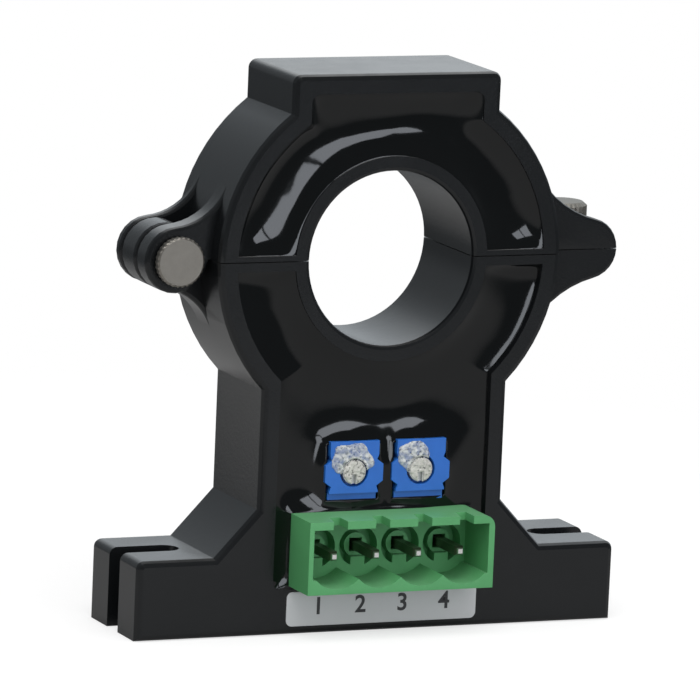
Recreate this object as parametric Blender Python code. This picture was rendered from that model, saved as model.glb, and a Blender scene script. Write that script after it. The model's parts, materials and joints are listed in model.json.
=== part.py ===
# Split-core Hall effect current sensor: a two-part moulded housing round a conductor window,
# hinged on the left, clamped by a knurled screw on the right, with its electronics in the neck.
# Sizes are millimetres and MM turns them into metres. +X is right, -Y is the front, +Z is up.
# The origin is the middle of the base's underside. Profiles are drawn about the window's centre.

import math

import bmesh
import bpy

MM = 0.001

# Gaps
CLEARANCE = 0.3             # between pieces that touch on the real sensor
RUNNING_GAP = 0.35          # round a shank or a barrel that turns or slides
SPLIT_GAP = 0.12            # between the closed halves

# Across the ring, from the window outwards
WINDOW_RADIUS = 9.8
WINDOW_WALL = 1.7
CORE_INNER_MARGIN = 1.2
CORE_WIDTH = 4.2
CORE_OUTER_MARGIN = 1.5
RIM_WIDTH = 2.15
UPPER_SPLIT_WALL = 0.6
LOWER_SPLIT_WALL = 1.0

# Through the depth, from the front face backwards
POTTING_RECESS = 0.7
POTTING_COVER = 4.3
CORE_DEPTH = 7.2
BACK_WALL = 1.5

# Flat-topped block over the ring
TOP_RISE = 0.1
TOP_HALF_WIDTH = 12.5
TOP_CORNER_RADIUS = 1.0

# Down the neck, below the core
NECK_WALL = 2.05
BOARD_DROP = 1.0            # core to the circuit board's top edge
TRIMMER_DROP = 2.5          # board's top edge to the trimmers' tops
TRIMMER_HEIGHT = 6.9
HEADER_DROP = 1.0           # trimmers' bottoms to the header's top
HEADER_HEIGHT = 8.2
BASE_WALL = 5.15            # cavity floor to the base's underside

# Gussets and feet
GUSSET_RUN = 4.95
GUSSET_RISE = 5.3
FOOT_LENGTH = 9.15
FOOT_HEIGHT = 8.95
SLOT_WIDTH = 3.2
SLOT_LENGTH = 7.5
FOOT_CORNER_RADIUS = 0.9
EDGE_ROUND = 0.65
WINDOW_EDGE_ROUND = 0.45

# Ears: a hinge of three lobes on the left, a clamp on the right
BARREL_RADIUS = 3.7
HINGE_FILLET = 7.0
CLAMP_EAR_RADIUS = 3.45
CLAMP_EAR_GAP = 1.35        # from the ring to the clamp ear's round end
CLAMP_FILLET = 12.0
EAR_SETBACK = 2.6
EAR_ROOT = 0.8              # how far an ear's root runs into the ring's wall
FRONT_LOBE = 3.05
MIDDLE_LOBE = 4.1
BACK_LOBE = 1.55
CLAMP_FRONT_WALL = 1.35
CLAMP_BACK_WALL = 1.65
CLAMP_FLOOR = 2.0
CLAMP_SETBACK = 1.6         # from the clamp ear's round end inwards to the screw
EAR_ROUND = 0.45

# Knurled metal pieces
KNOB_RADIUS = 2.8
KNOB_TEETH = 30
KNOB_TOOTH_DEPTH = 0.1
SHANK_RADIUS = 1.5
HINGE_KNOB_THICKNESS = 1.0
HINGE_KNOB_CHAMFER = 0.15
CLAMP_KNOB_HEIGHT = 2.5
CLAMP_KNOB_CHAMFER = 0.4
INSERT_WALL = 0.6
INSERT_LENGTH = 2.7

# Magnetic gap and Hall element
HALL_THICKNESS = 1.6
HALL_DEPTH = 4.1
HALL_HEIGHT = 3.1
HALL_LEAD = 0.4
HALL_LEAD_PITCH = 1.27
HALL_LEAD_COUNT = 4

# Circuit board and the parts behind it
BOARD_THICKNESS = 1.6
BOARD_SIDE_MARGIN = 1.7
BOARD_FOOT_MARGIN = 0.65
CHIP_LENGTH = 8.6
CHIP_BODY = 3.9
CHIP_SPAN = 5.3
CHIP_THICKNESS = 1.45
CHIP_LEG_PITCH = 1.27
CHIP_LEG_COUNT = 7
CHIP_LEG_WIDTH = 0.4
CHIP_LEG_THICKNESS = 0.25
CHIP_DROP = 1.25            # trimmers' bottoms to the chip's middle
DIODE_SIZE = (3.6, 2.0, 2.6)
DIODE_SIDE_GAP = 0.9
REGULATOR_SIZE = (4.5, 1.5, 2.5)
REGULATOR_SIDE = 6.0
CAPACITOR_SIZE = (3.2, 1.3, 1.6)
CAPACITOR_SIDE = 5.6
CAPACITOR_STEP = 2.4
TOP_ROW_DROP = 2.0

# Trimmers
TRIMMER_DEPTH = 5.3
TRIMMER_HALF_WIDTH = 3.5
TRIMMER_WAIST = 2.75        # half width at the side notches
TRIMMER_SHOULDER = 2.95     # half width above and below the notches
TRIMMER_NOTCH_TOP = 1.35
TRIMMER_NOTCH_BOTTOM = -1.65
TRIMMER_BAND = 0.55         # how far a notch opens towards the middle band
TRIMMER_LEDGE_HEIGHT = 1.05
TRIMMER_LEDGE_STEP = 0.5
TRIMMER_PITCH = 8.05
TRIMMER_SHIFT = 0.57
LEG_RADIUS = 0.3
LEG_PITCH = 2.54
LEG_TAIL = 1.0
ROTOR_RADIUS = 1.4
ROTOR_THICKNESS = 0.9
ROTOR_SLOT_WIDTH = 0.45
ROTOR_SLOT_DEPTH = 0.4

# Terminal header and pins
PIN_PITCH = 5.08
PIN_COUNT = 4
PIN_SIZE = 1.0
PIN_HOLE_GAP = 0.25
PIN_TIP_SETBACK = 1.2       # header's front to the pins' tips
PIN_TIP_TAPER = 0.5
PIN_TAIL = 1.5
HEADER_SHIFT = 0.45
HEADER_END = 3.55           # end pin to the header's end
HEADER_SIDE_MARGIN = 1.08
HEADER_DEPTH = 10.5
HEADER_TOP_WALL = 0.9
HEADER_LEFT_WALL = 0.55
HEADER_RIGHT_WALL = 0.7
HEADER_PIN_DROP = 4.2       # header's top to the pins' middle
HEADER_CORNER_RADIUS = 1.3
SCALLOP_RADIUS = 3.45
SOCKET_DEPTH = 6.4
WELL_RADIUS = 2.3
WELL_DEPTH = 2.0
COLLAR_RADIUS = 1.4
COLLAR_HEIGHT = 1.2
PAD_WIDTH = 1.7
PAD_HEIGHT = 1.1
NOTCH_WIDTH = 1.9
NOTCH_BACK_WIDTH = 1.2
NOTCH_LENGTH = 2.4

# Label plate on the base's front
LABEL_HALF_LENGTH = 11.5
LABEL_SHIFT = 0.5
LABEL_HEIGHT = 3.9
LABEL_DROP = 0.3
LABEL_THICKNESS = 0.2
LABEL_CORNER_RADIUS = 0.5

# Making: how far cutters run past a face and joined solids into each other, and how round things are
OVERRUN = 1.0
FUSE = 0.2
PART_BEVEL = 0.15           # share of a small part's least side
LEG_SIDES = 8
COLLAR_SIDES = 16
CIRCLE_SIDES = 24
ARC_STEP = 5.0              # degrees between the points of a large arc
SMALL_ARC_STEP = 15.0       # degrees between the points of a small arc

# Worked out from the sizes above: the ring
CAVITY_INNER = WINDOW_RADIUS + WINDOW_WALL
CORE_INNER = CAVITY_INNER + CORE_INNER_MARGIN
CORE_OUTER = CORE_INNER + CORE_WIDTH
CAVITY_OUTER = CORE_OUTER + CORE_OUTER_MARGIN
RING_RADIUS = CAVITY_OUTER + RIM_WIDTH
TOP_HEIGHT = RING_RADIUS + TOP_RISE
SPLIT = SPLIT_GAP / 2

# The depth
DEPTH = POTTING_RECESS + POTTING_COVER + CORE_DEPTH + CLEARANCE + BACK_WALL
FRONT = -DEPTH / 2
BACK = DEPTH / 2
CAVITY_BACK = BACK - BACK_WALL
POTTING_FRONT = FRONT + POTTING_RECESS
POTTING_BACK = CAVITY_BACK - CLEARANCE
CORE_FRONT = POTTING_FRONT + POTTING_COVER
CORE_MIDDLE = CORE_FRONT + CORE_DEPTH / 2

# The neck, downwards from the window's centre
BOARD_TOP = -(CORE_OUTER + BOARD_DROP)
TRIMMER_TOP = BOARD_TOP - TRIMMER_DROP
TRIMMER_MIDDLE = TRIMMER_TOP - TRIMMER_HEIGHT / 2
TRIMMER_BOTTOM = TRIMMER_TOP - TRIMMER_HEIGHT
HEADER_TOP = TRIMMER_BOTTOM - HEADER_DROP
HEADER_BOTTOM = HEADER_TOP - HEADER_HEIGHT
PIN_LEVEL = HEADER_TOP - HEADER_PIN_DROP
CAVITY_FLOOR = HEADER_BOTTOM - RUNNING_GAP
WINDOW_HEIGHT = BASE_WALL - CAVITY_FLOOR
BASE = -WINDOW_HEIGHT
HEADER_HALF_LENGTH = (PIN_COUNT - 1) * PIN_PITCH / 2 + HEADER_END
CAVITY_HALF_WIDTH = HEADER_SHIFT + HEADER_HALF_LENGTH + HEADER_SIDE_MARGIN
NECK_HALF_WIDTH = CAVITY_HALF_WIDTH + NECK_WALL
BOARD_HALF_WIDTH = CAVITY_HALF_WIDTH - BOARD_SIDE_MARGIN
BOARD_BOTTOM = CAVITY_FLOOR + BOARD_FOOT_MARGIN
BOARD_FRONT = FRONT + TRIMMER_DEPTH + CLEARANCE
BOARD_BACK = BOARD_FRONT + BOARD_THICKNESS
PARTS_FRONT = BOARD_BACK + CLEARANCE
HEADER_BACK = BOARD_FRONT - CLEARANCE
HEADER_FRONT = HEADER_BACK - HEADER_DEPTH
SOCKET_FLOOR = HEADER_FRONT + SOCKET_DEPTH
FOOT_TOP = BASE + FOOT_HEIGHT
GUSSET_TOP = FOOT_TOP + GUSSET_RISE
FOOT_ROOT = NECK_HALF_WIDTH + GUSSET_RUN
FOOT_END = FOOT_ROOT + FOOT_LENGTH
PIN_PLACES = [HEADER_SHIFT + (i - (PIN_COUNT - 1) / 2) * PIN_PITCH for i in range(PIN_COUNT)]
TRIMMER_PLACES = {"zero": TRIMMER_SHIFT - TRIMMER_PITCH / 2, "gain": TRIMMER_SHIFT + TRIMMER_PITCH / 2}

# The ears
HINGE_X = RING_RADIUS + CLEARANCE + BARREL_RADIUS
CLAMP_EAR_X = RING_RADIUS + CLAMP_EAR_GAP + CLAMP_EAR_RADIUS
HINGE_EAR = (HINGE_X, BARREL_RADIUS, HINGE_FILLET)
CLAMP_EAR = (CLAMP_EAR_X, CLAMP_EAR_RADIUS, CLAMP_FILLET)
EAR_FRONT = FRONT + EAR_SETBACK
FRONT_LOBE_BACK = EAR_FRONT + FRONT_LOBE
MIDDLE_LOBE_FRONT = FRONT_LOBE_BACK + CLEARANCE
MIDDLE_LOBE_BACK = MIDDLE_LOBE_FRONT + MIDDLE_LOBE
BACK_LOBE_FRONT = MIDDLE_LOBE_BACK + CLEARANCE
BACK_LOBE_BACK = BACK_LOBE_FRONT + BACK_LOBE
CLAMP_POCKET = 2 * (KNOB_RADIUS + RUNNING_GAP)
CLAMP_BACK = EAR_FRONT + CLAMP_FRONT_WALL + CLAMP_POCKET + CLAMP_BACK_WALL
CLAMP_X = CLAMP_EAR_X - CLAMP_SETBACK
CLAMP_Y = EAR_FRONT + CLAMP_FRONT_WALL + CLAMP_POCKET / 2
CLAMP_SEAT = SPLIT + CLAMP_FLOOR
SHANK_HOLE = SHANK_RADIUS + RUNNING_GAP
INSERT_RADIUS = SHANK_HOLE + INSERT_WALL
CORE_GAP = HALL_THICKNESS + 2 * RUNNING_GAP
HALL_LEVEL = -(CORE_INNER + CORE_OUTER) / 2


def clear_scene():
    for old in list(bpy.data.objects):
        bpy.data.objects.remove(old, do_unlink=True)


# Materials

def make_material(name, colour, roughness, metallic=0.0):
    material = bpy.data.materials.new(name)
    material.use_nodes = True
    shader = material.node_tree.nodes["Principled BSDF"]
    shader.inputs["Base Color"].default_value = (*colour, 1.0)
    shader.inputs["Roughness"].default_value = roughness
    shader.inputs["Metallic"].default_value = metallic
    material.diffuse_color = (*colour, 1.0)
    return material


def make_materials():
    return {
        "housing": make_material("black_moulding", (0.022, 0.023, 0.025), 0.42),
        "potting": make_material("black_potting_resin", (0.008, 0.009, 0.010), 0.08),
        "core": make_material("core_alloy", (0.42, 0.40, 0.37), 0.45, 0.8),
        "hall": make_material("hall_package", (0.03, 0.03, 0.03), 0.5),
        "board": make_material("board_laminate", (0.03, 0.20, 0.09), 0.5),
        "chip": make_material("chip_moulding", (0.03, 0.03, 0.035), 0.5),
        "capacitor": make_material("capacitor_ceramic", (0.45, 0.33, 0.20), 0.5),
        "header": make_material("header_green", (0.075, 0.32, 0.115), 0.4),
        "pin": make_material("tinned_pin", (0.45, 0.43, 0.38), 0.35, 1.0),
        "trimmer": make_material("trimmer_blue", (0.025, 0.14, 0.60), 0.35),
        "rotor": make_material("rotor_metal", (0.75, 0.74, 0.70), 0.35, 0.7),
        "steel": make_material("knurled_steel", (0.55, 0.53, 0.50), 0.35, 1.0),
        "brass": make_material("insert_brass", (0.78, 0.57, 0.28), 0.35, 1.0),
        "label": make_material("label_silver", (0.60, 0.60, 0.61), 0.45),
    }


# Outlines, as lists of (across, up) points

def arc(centre_x, centre_z, radius, start, end, step=ARC_STEP):
    count = max(1, math.ceil(abs(end - start) / step - 1e-9))
    angles = [math.radians(start + (end - start) * i / count) for i in range(count + 1)]
    return [(centre_x + radius * math.cos(a), centre_z + radius * math.sin(a)) for a in angles]


def mirrored(points):
    return [(-x, z) for x, z in reversed(points)]


def flipped(points):
    return [(x, -z) for x, z in reversed(points)]


def round_corner(before, corner, after, radius, step=SMALL_ARC_STEP):
    # Points of the arc that replaces one corner of an outline
    unit = []
    for point in (before, after):
        dx, dz = point[0] - corner[0], point[1] - corner[1]
        length = math.hypot(dx, dz)
        unit.append((dx / length, dz / length))
    half = math.acos(max(-1.0, min(1.0, unit[0][0] * unit[1][0] + unit[0][1] * unit[1][1]))) / 2
    reach = radius / math.tan(half)
    bisector = (unit[0][0] + unit[1][0], unit[0][1] + unit[1][1])
    size = math.hypot(*bisector)
    distance = radius / math.sin(half)
    centre = (corner[0] + bisector[0] / size * distance, corner[1] + bisector[1] / size * distance)
    angles = []
    for direction in unit:
        x = corner[0] + direction[0] * reach - centre[0]
        z = corner[1] + direction[1] * reach - centre[1]
        angles.append(math.degrees(math.atan2(z, x)))
    turn = (angles[1] - angles[0] + 180) % 360 - 180
    return arc(centre[0], centre[1], radius, angles[0], angles[0] + turn, step)


def angle_at_height(radius, height):
    return math.degrees(math.asin(height / radius))


def angle_at_width(radius, width):
    return math.degrees(math.acos(width / radius))


def upper_outline(outer, inner, split, block_half_width, block_top):
    # The upper half: an arch with a flat-topped block over it. Returns the outer and the inner run.
    start = angle_at_height(outer, split)
    junction = angle_at_width(outer, block_half_width)
    side_foot = (block_half_width, outer * math.sin(math.radians(junction)))
    corner = (block_half_width, block_top)
    side = arc(0, 0, outer, start, junction)
    side += round_corner(side_foot, corner, (0, block_top), TOP_CORNER_RADIUS)
    bottom = angle_at_height(inner, split)
    return side + mirrored(side), arc(0, 0, inner, 180 - bottom, bottom)


def lower_ring_side(outer, split, half_width):
    start = angle_at_height(outer, split)
    junction = angle_at_width(outer, half_width)
    return arc(0, 0, outer, -start, -junction)


def lower_window(inner, split):
    bottom = angle_at_height(inner, split)
    return arc(0, 0, inner, 180 + bottom, 360 - bottom)


def lower_body_outline():
    neck_foot = (NECK_HALF_WIDTH, GUSSET_TOP)
    foot_root = (FOOT_ROOT, FOOT_TOP)
    foot_end = (FOOT_END, FOOT_TOP)
    base_end = (FOOT_END, BASE)
    side = lower_ring_side(RING_RADIUS, SPLIT, NECK_HALF_WIDTH)
    side += [neck_foot, foot_root]
    side += round_corner(foot_root, foot_end, base_end, FOOT_CORNER_RADIUS)
    side += [base_end]
    return side + mirrored(side), lower_window(WINDOW_RADIUS, SPLIT)


def lower_cavity_outline(offset):
    half_width = CAVITY_HALF_WIDTH - offset
    split = SPLIT + LOWER_SPLIT_WALL + offset
    floor = CAVITY_FLOOR + offset
    side = lower_ring_side(CAVITY_OUTER - offset, split, half_width)
    side += round_corner(side[-1], (half_width, floor), (0, floor), FOOT_CORNER_RADIUS)
    return side + mirrored(side) + lower_window(CAVITY_INNER + offset, split)


def upper_cavity_outline(offset):
    split = SPLIT + UPPER_SPLIT_WALL + offset
    outer, inner = upper_outline(CAVITY_OUTER - offset, CAVITY_INNER + offset, split,
                                 TOP_HALF_WIDTH - RIM_WIDTH - offset, TOP_HEIGHT - RIM_WIDTH - offset)
    return outer + inner


def ear_fillet(ear):
    # The hollow curve from the ring to an ear's barrel, touching both circles, on the right above the split
    ear_x, barrel_radius, fillet = ear
    to_ring = RING_RADIUS + fillet
    to_barrel = barrel_radius + fillet
    x = (to_ring ** 2 - to_barrel ** 2 + ear_x ** 2) / (2 * ear_x)
    z = math.sqrt(to_ring ** 2 - x ** 2)
    ring_side = math.degrees(math.atan2(-z, -x))
    barrel_side = math.degrees(math.atan2(-z, ear_x - x))
    return (x, z), ring_side, barrel_side


def ear_outline(ear, whole_barrel):
    # A right-hand ear above the split: root in the ring's wall, barrel, hollow curve, root again
    ear_x, barrel_radius, fillet = ear
    centre, ring_side, barrel_side = ear_fillet(ear)
    root = RING_RADIUS - EAR_ROOT
    dip = angle_at_height(barrel_radius, SPLIT)
    root_top = math.degrees(math.atan2(centre[1], centre[0]))
    start = -180 - dip if whole_barrel else dip
    barrel = arc(ear_x, 0, barrel_radius, start, barrel_side + 180, SMALL_ARC_STEP)
    hollow = arc(centre[0], centre[1], fillet, barrel_side, ring_side, SMALL_ARC_STEP / 2)
    inner = arc(0, 0, root, root_top, angle_at_height(root, SPLIT))
    return barrel + hollow[1:], inner


# Mesh pieces, added to a bmesh

def add_loops(bm, loops):
    # Closed skin through equal loops of points, with a face at each end
    rings = [[bm.verts.new(tuple(c * MM for c in point)) for point in loop] for loop in loops]
    count = len(rings[0])
    for low, high in zip(rings, rings[1:]):
        for i in range(count):
            j = (i + 1) % count
            bm.faces.new((low[i], low[j], high[j], high[i]))
    bm.faces.new(list(reversed(rings[0])))
    bm.faces.new(rings[-1])
    return rings


def face_outwards(bm):
    bmesh.ops.recalc_face_normals(bm, faces=bm.faces[:])


def add_prism(bm, outline, front, back):
    return add_loops(bm, [[(x, y, z) for x, z in outline] for y in (front, back)])


def add_column(bm, outline, bottom, top):
    return add_loops(bm, [[(x, y, z) for x, y in outline] for z in (bottom, top)])


def add_box(bm, low, high):
    outline = [(low[0], low[2]), (high[0], low[2]), (high[0], high[2]), (low[0], high[2])]
    return add_prism(bm, outline, low[1], high[1])


def round_edges(bm, ring_pairs, width, segments=2):
    # Bevels the edges between neighbouring vertices of each run
    edges = set()
    for run in ring_pairs:
        for a, b in zip(run, run[1:]):
            edge = bm.edges.get((a, b))
            if edge:
                edges.add(edge)
    bmesh.ops.bevel(bm, geom=list(edges), offset=width * MM, segments=segments, profile=0.5,
                    affect="EDGES", clamp_overlap=True)


def rounded_prism(outer, inner, front, back, outer_round, inner_round=0.0):
    # A prism whose outer run, and maybe its inner one, has rounded front and back edges
    bm = bmesh.new()
    rings = add_prism(bm, outer + inner, front, back)
    face_outwards(bm)
    outer_runs = [ring[:len(outer)] for ring in rings]
    inner_runs = [ring[len(outer):] for ring in rings]
    round_edges(bm, outer_runs, outer_round)
    if inner_round:
        round_edges(bm, [[v for v in run if v.is_valid] for run in inner_runs], inner_round)
    return bm


def circle(radius, teeth=0, tooth_depth=0.0, count=CIRCLE_SIDES):
    # Points of a circle, or of a knurled one with a ridge on every second point
    total = 2 * teeth if teeth else count
    points = []
    for i in range(total):
        reach = radius - (tooth_depth if teeth and i % 2 else 0.0)
        angle = 2 * math.pi * i / total
        points.append((reach * math.cos(angle), reach * math.sin(angle)))
    return points


# Objects

def mesh_object(name, bm, material=None, smooth_angle=40.0):
    face_outwards(bm)
    mesh = bpy.data.meshes.new(name)
    bm.to_mesh(mesh)
    bm.free()
    mesh.shade_smooth()
    mesh.set_sharp_from_angle(angle=math.radians(smooth_angle))
    piece = bpy.data.objects.new(name, mesh)
    bpy.context.collection.objects.link(piece)
    if material:
        mesh.materials.append(material)
    return piece


def empty(name, place, parent=None):
    marker = bpy.data.objects.new(name, None)
    marker.empty_display_size = 0.004
    bpy.context.collection.objects.link(marker)
    marker.parent = parent
    marker.location = tuple(c * MM for c in place)
    return marker


def put(piece, parent, place=(0.0, 0.0, 0.0)):
    piece.parent = parent
    piece.location = tuple(c * MM for c in place)
    return piece


def tool(name, bm, like):
    # A hidden solid for a Boolean, placed where its target is
    shape = mesh_object(name, bm)
    put(shape, like.parent)
    shape.location = like.location
    shape.hide_render = True
    shape.display_type = "WIRE"
    return shape


def combine(target, bm, operation, label):
    modifier = target.modifiers.new(label, "BOOLEAN")
    modifier.operation = operation
    modifier.solver = "EXACT"
    modifier.use_self = True
    modifier.object = tool(target.name + "_" + label, bm, target)


def cut(target, bm, label):
    combine(target, bm, "DIFFERENCE", label)


def join(target, bm, label):
    combine(target, bm, "UNION", label)


# Housing halves

def core_windows(low, high):
    # Slots in a half's split wall where the core's ends come through, left and right
    bm = bmesh.new()
    for side in (-1, 1):
        across = sorted((side * (CORE_INNER - CLEARANCE), side * (CORE_OUTER + CLEARANCE)))
        add_box(bm, (across[0], CORE_FRONT - CLEARANCE, low), (across[1], CAVITY_BACK, high))
    return bm


def hinge_hole():
    bm = bmesh.new()
    ring = [(-HINGE_X + x, z) for x, z in circle(SHANK_HOLE)]
    add_prism(bm, ring, EAR_FRONT - OVERRUN, BACK_LOBE_BACK + OVERRUN)
    return bm


def clamp_hole(radius, bottom, top):
    bm = bmesh.new()
    add_column(bm, [(CLAMP_X + x, CLAMP_Y + y) for x, y in circle(radius)], bottom, top)
    return bm


def left_lobe(front, back, outline_side):
    barrel, inner = ear_outline(HINGE_EAR, whole_barrel=True)
    if outline_side == "upper":
        outer, root = mirrored(barrel), mirrored(inner)
    else:
        outer, root = mirrored(flipped(barrel)), mirrored(flipped(inner))
    return rounded_prism(outer, root, front, back, EAR_ROUND)


def right_ear(outline_side):
    outer, root = ear_outline(CLAMP_EAR, whole_barrel=False)
    if outline_side == "lower":
        outer, root = flipped(outer), flipped(root)
    return rounded_prism(outer, root, EAR_FRONT, CLAMP_BACK, EAR_ROUND)


def clamp_pocket():
    # The open slot in the upper right ear where fingers reach the knob
    bm = bmesh.new()
    inner_end = CLAMP_X - KNOB_RADIUS - RUNNING_GAP
    low = (inner_end, CLAMP_Y - CLAMP_POCKET / 2, CLAMP_SEAT)
    high = (CLAMP_EAR_X + CLAMP_EAR_RADIUS + OVERRUN, CLAMP_Y + CLAMP_POCKET / 2, RING_RADIUS)
    add_box(bm, low, high)
    return bm


def cavity(outline):
    bm = bmesh.new()
    add_prism(bm, outline, FRONT - OVERRUN, CAVITY_BACK)
    return bm


def foot_slots():
    bm = bmesh.new()
    radius = SLOT_WIDTH / 2
    middle = FOOT_END - SLOT_LENGTH + radius
    outside = FOOT_END + OVERRUN
    slot = arc(middle, 0, radius, 270, 90, SMALL_ARC_STEP) + [(outside, radius), (outside, -radius)]
    for points in (slot, mirrored(slot)):
        add_column(bm, points, BASE - OVERRUN, FOOT_TOP + OVERRUN)
    return bm


def make_upper_housing(materials, parent, place):
    outer, inner = upper_outline(RING_RADIUS, WINDOW_RADIUS, SPLIT, TOP_HALF_WIDTH, TOP_HEIGHT)
    body = rounded_prism(outer, inner, FRONT, BACK, EDGE_ROUND, WINDOW_EDGE_ROUND)
    housing = put(mesh_object("upper_housing", body, materials["housing"]), parent, place)
    join(housing, left_lobe(EAR_FRONT, FRONT_LOBE_BACK, "upper"), "front_lobe")
    join(housing, left_lobe(BACK_LOBE_FRONT, BACK_LOBE_BACK, "upper"), "back_lobe")
    join(housing, right_ear("upper"), "clamp_ear")
    cut(housing, cavity(upper_cavity_outline(0)), "cavity")
    cut(housing, core_windows(0, SPLIT + UPPER_SPLIT_WALL + CLEARANCE), "core_windows")
    cut(housing, hinge_hole(), "hinge_hole")
    cut(housing, clamp_pocket(), "clamp_pocket")
    cut(housing, clamp_hole(SHANK_HOLE, 0, CLAMP_SEAT + OVERRUN), "clamp_hole")
    return housing


def make_lower_housing(materials, parent):
    outer, inner = lower_body_outline()
    body = rounded_prism(outer, inner, FRONT, BACK, EDGE_ROUND, WINDOW_EDGE_ROUND)
    housing = put(mesh_object("lower_housing", body, materials["housing"]), parent)
    join(housing, left_lobe(MIDDLE_LOBE_FRONT, MIDDLE_LOBE_BACK, "lower"), "middle_lobe")
    join(housing, right_ear("lower"), "clamp_ear")
    cut(housing, cavity(lower_cavity_outline(0)), "cavity")
    cut(housing, core_windows(-SPLIT - LOWER_SPLIT_WALL - CLEARANCE, 0), "core_windows")
    cut(housing, hinge_hole(), "hinge_hole")
    cut(housing, clamp_hole(INSERT_RADIUS + CLEARANCE, -RING_RADIUS, 0), "insert_hole")
    cut(housing, foot_slots(), "foot_slots")
    return housing


# Magnetic core and Hall element

def core_end():
    return SPLIT + CLEARANCE / 2


def core_piece(name, outer_span, inner_span, materials, parent, place=(0.0, 0.0, 0.0)):
    bm = bmesh.new()
    outline = arc(0, 0, CORE_OUTER, *outer_span) + arc(0, 0, CORE_INNER, *reversed(inner_span))
    add_prism(bm, outline, CORE_FRONT, CORE_FRONT + CORE_DEPTH)
    return put(mesh_object(name, bm, materials["core"]), parent, place)


def make_upper_core(materials, parent, place):
    outer = angle_at_height(CORE_OUTER, core_end())
    inner = angle_at_height(CORE_INNER, core_end())
    return core_piece("upper_core", (outer, 180 - outer), (inner, 180 - inner), materials, parent, place)


def make_lower_cores(materials, parent):
    outer = angle_at_height(CORE_OUTER, core_end())
    inner = angle_at_height(CORE_INNER, core_end())
    outer_gap = angle_at_height(CORE_OUTER, CORE_GAP / 2)
    inner_gap = angle_at_height(CORE_INNER, CORE_GAP / 2)
    core_piece("lower_core_left", (180 + outer, 270 - outer_gap), (180 + inner, 270 - inner_gap),
               materials, parent)
    core_piece("lower_core_right", (270 + outer_gap, 360 - outer), (270 + inner_gap, 360 - inner),
               materials, parent)


def hall_body_box():
    low = (-HALL_THICKNESS / 2, CORE_MIDDLE - HALL_DEPTH / 2, HALL_LEVEL - HALL_HEIGHT / 2)
    high = (HALL_THICKNESS / 2, CORE_MIDDLE + HALL_DEPTH / 2, HALL_LEVEL + HALL_HEIGHT / 2)
    return low, high


def hall_lead_box(margin):
    # The room round all four leads, from inside the package down to the board's top edge
    span = (HALL_LEAD_COUNT - 1) * HALL_LEAD_PITCH / 2 + HALL_LEAD / 2 + margin
    low = (-HALL_LEAD / 2 - margin, CORE_MIDDLE - span, BOARD_TOP + CLEARANCE - margin)
    high = (HALL_LEAD / 2 + margin, CORE_MIDDLE + span, HALL_LEVEL)
    return low, high


def make_hall_element(materials, parent):
    bm = bmesh.new()
    add_box(bm, *hall_body_box())
    element = put(mesh_object("hall_element", bm, materials["hall"]), parent)
    leads = bmesh.new()
    low, high = hall_lead_box(0)
    for i in range(HALL_LEAD_COUNT):
        y = low[1] + i * HALL_LEAD_PITCH
        add_box(leads, (low[0], y, low[2]), (high[0], y + HALL_LEAD, high[2]))
    join(element, leads, "leads")
    return element


# Electronics

def leg_places(middle):
    # A trimmer's three legs, in the board's plane
    return [(middle - LEG_PITCH, TRIMMER_MIDDLE - LEG_PITCH / 2), (middle, TRIMMER_MIDDLE + LEG_PITCH / 2),
            (middle + LEG_PITCH, TRIMMER_MIDDLE - LEG_PITCH / 2)]


def add_legs(bm, margin, front, back):
    for middle in TRIMMER_PLACES.values():
        for x, z in leg_places(middle):
            outline = [(x + a, z + b) for a, b in circle(LEG_RADIUS + margin, count=LEG_SIDES)]
            add_prism(bm, outline, front, back)


def add_pin_bars(bm, margin, front, back):
    half = PIN_SIZE / 2 + margin
    for x in PIN_PLACES:
        add_box(bm, (x - half, front, PIN_LEVEL - half), (x + half, back, PIN_LEVEL + half))


def make_board(materials, parent):
    bm = bmesh.new()
    add_box(bm, (-BOARD_HALF_WIDTH, BOARD_FRONT, BOARD_BOTTOM), (BOARD_HALF_WIDTH, BOARD_BACK, BOARD_TOP))
    board = put(mesh_object("circuit_board", bm, materials["board"]), parent)
    holes = bmesh.new()
    add_pin_bars(holes, CLEARANCE, BOARD_FRONT - OVERRUN, BOARD_BACK + OVERRUN)
    add_legs(holes, CLEARANCE, BOARD_FRONT - OVERRUN, BOARD_BACK + OVERRUN)
    cut(board, holes, "holes")
    return board


def board_parts():
    # Centre across, centre up and size of each small part behind the board
    chip_level = TRIMMER_BOTTOM - CHIP_DROP
    top_level = BOARD_TOP - TOP_ROW_DROP
    diode_side = CHIP_LENGTH / 2 + DIODE_SIDE_GAP + DIODE_SIZE[0] / 2
    return {
        "input_diode": (-diode_side, chip_level, DIODE_SIZE, "chip"),
        "output_diode": (diode_side, chip_level, DIODE_SIZE, "chip"),
        "regulator_chip": (-REGULATOR_SIDE, top_level, REGULATOR_SIZE, "chip"),
        "upper_capacitor": (CAPACITOR_SIDE, top_level + CAPACITOR_STEP / 2, CAPACITOR_SIZE, "capacitor"),
        "lower_capacitor": (CAPACITOR_SIDE, top_level - CAPACITOR_STEP / 2, CAPACITOR_SIZE, "capacitor"),
    }


def part_box(x, z, size, margin):
    low = (x - size[0] / 2 - margin, PARTS_FRONT - margin, z - size[2] / 2 - margin)
    high = (x + size[0] / 2 + margin, PARTS_FRONT + size[1] + margin, z + size[2] / 2 + margin)
    return low, high


def make_board_parts(materials, parent):
    for name, (x, z, size, material) in board_parts().items():
        bm = bmesh.new()
        rings = add_box(bm, *part_box(x, z, size, 0))
        face_outwards(bm)
        back = rings[1] + rings[1][:1]
        round_edges(bm, [back], min(size) * PART_BEVEL, segments=1)
        put(mesh_object(name, bm, materials[material]), parent)


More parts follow.
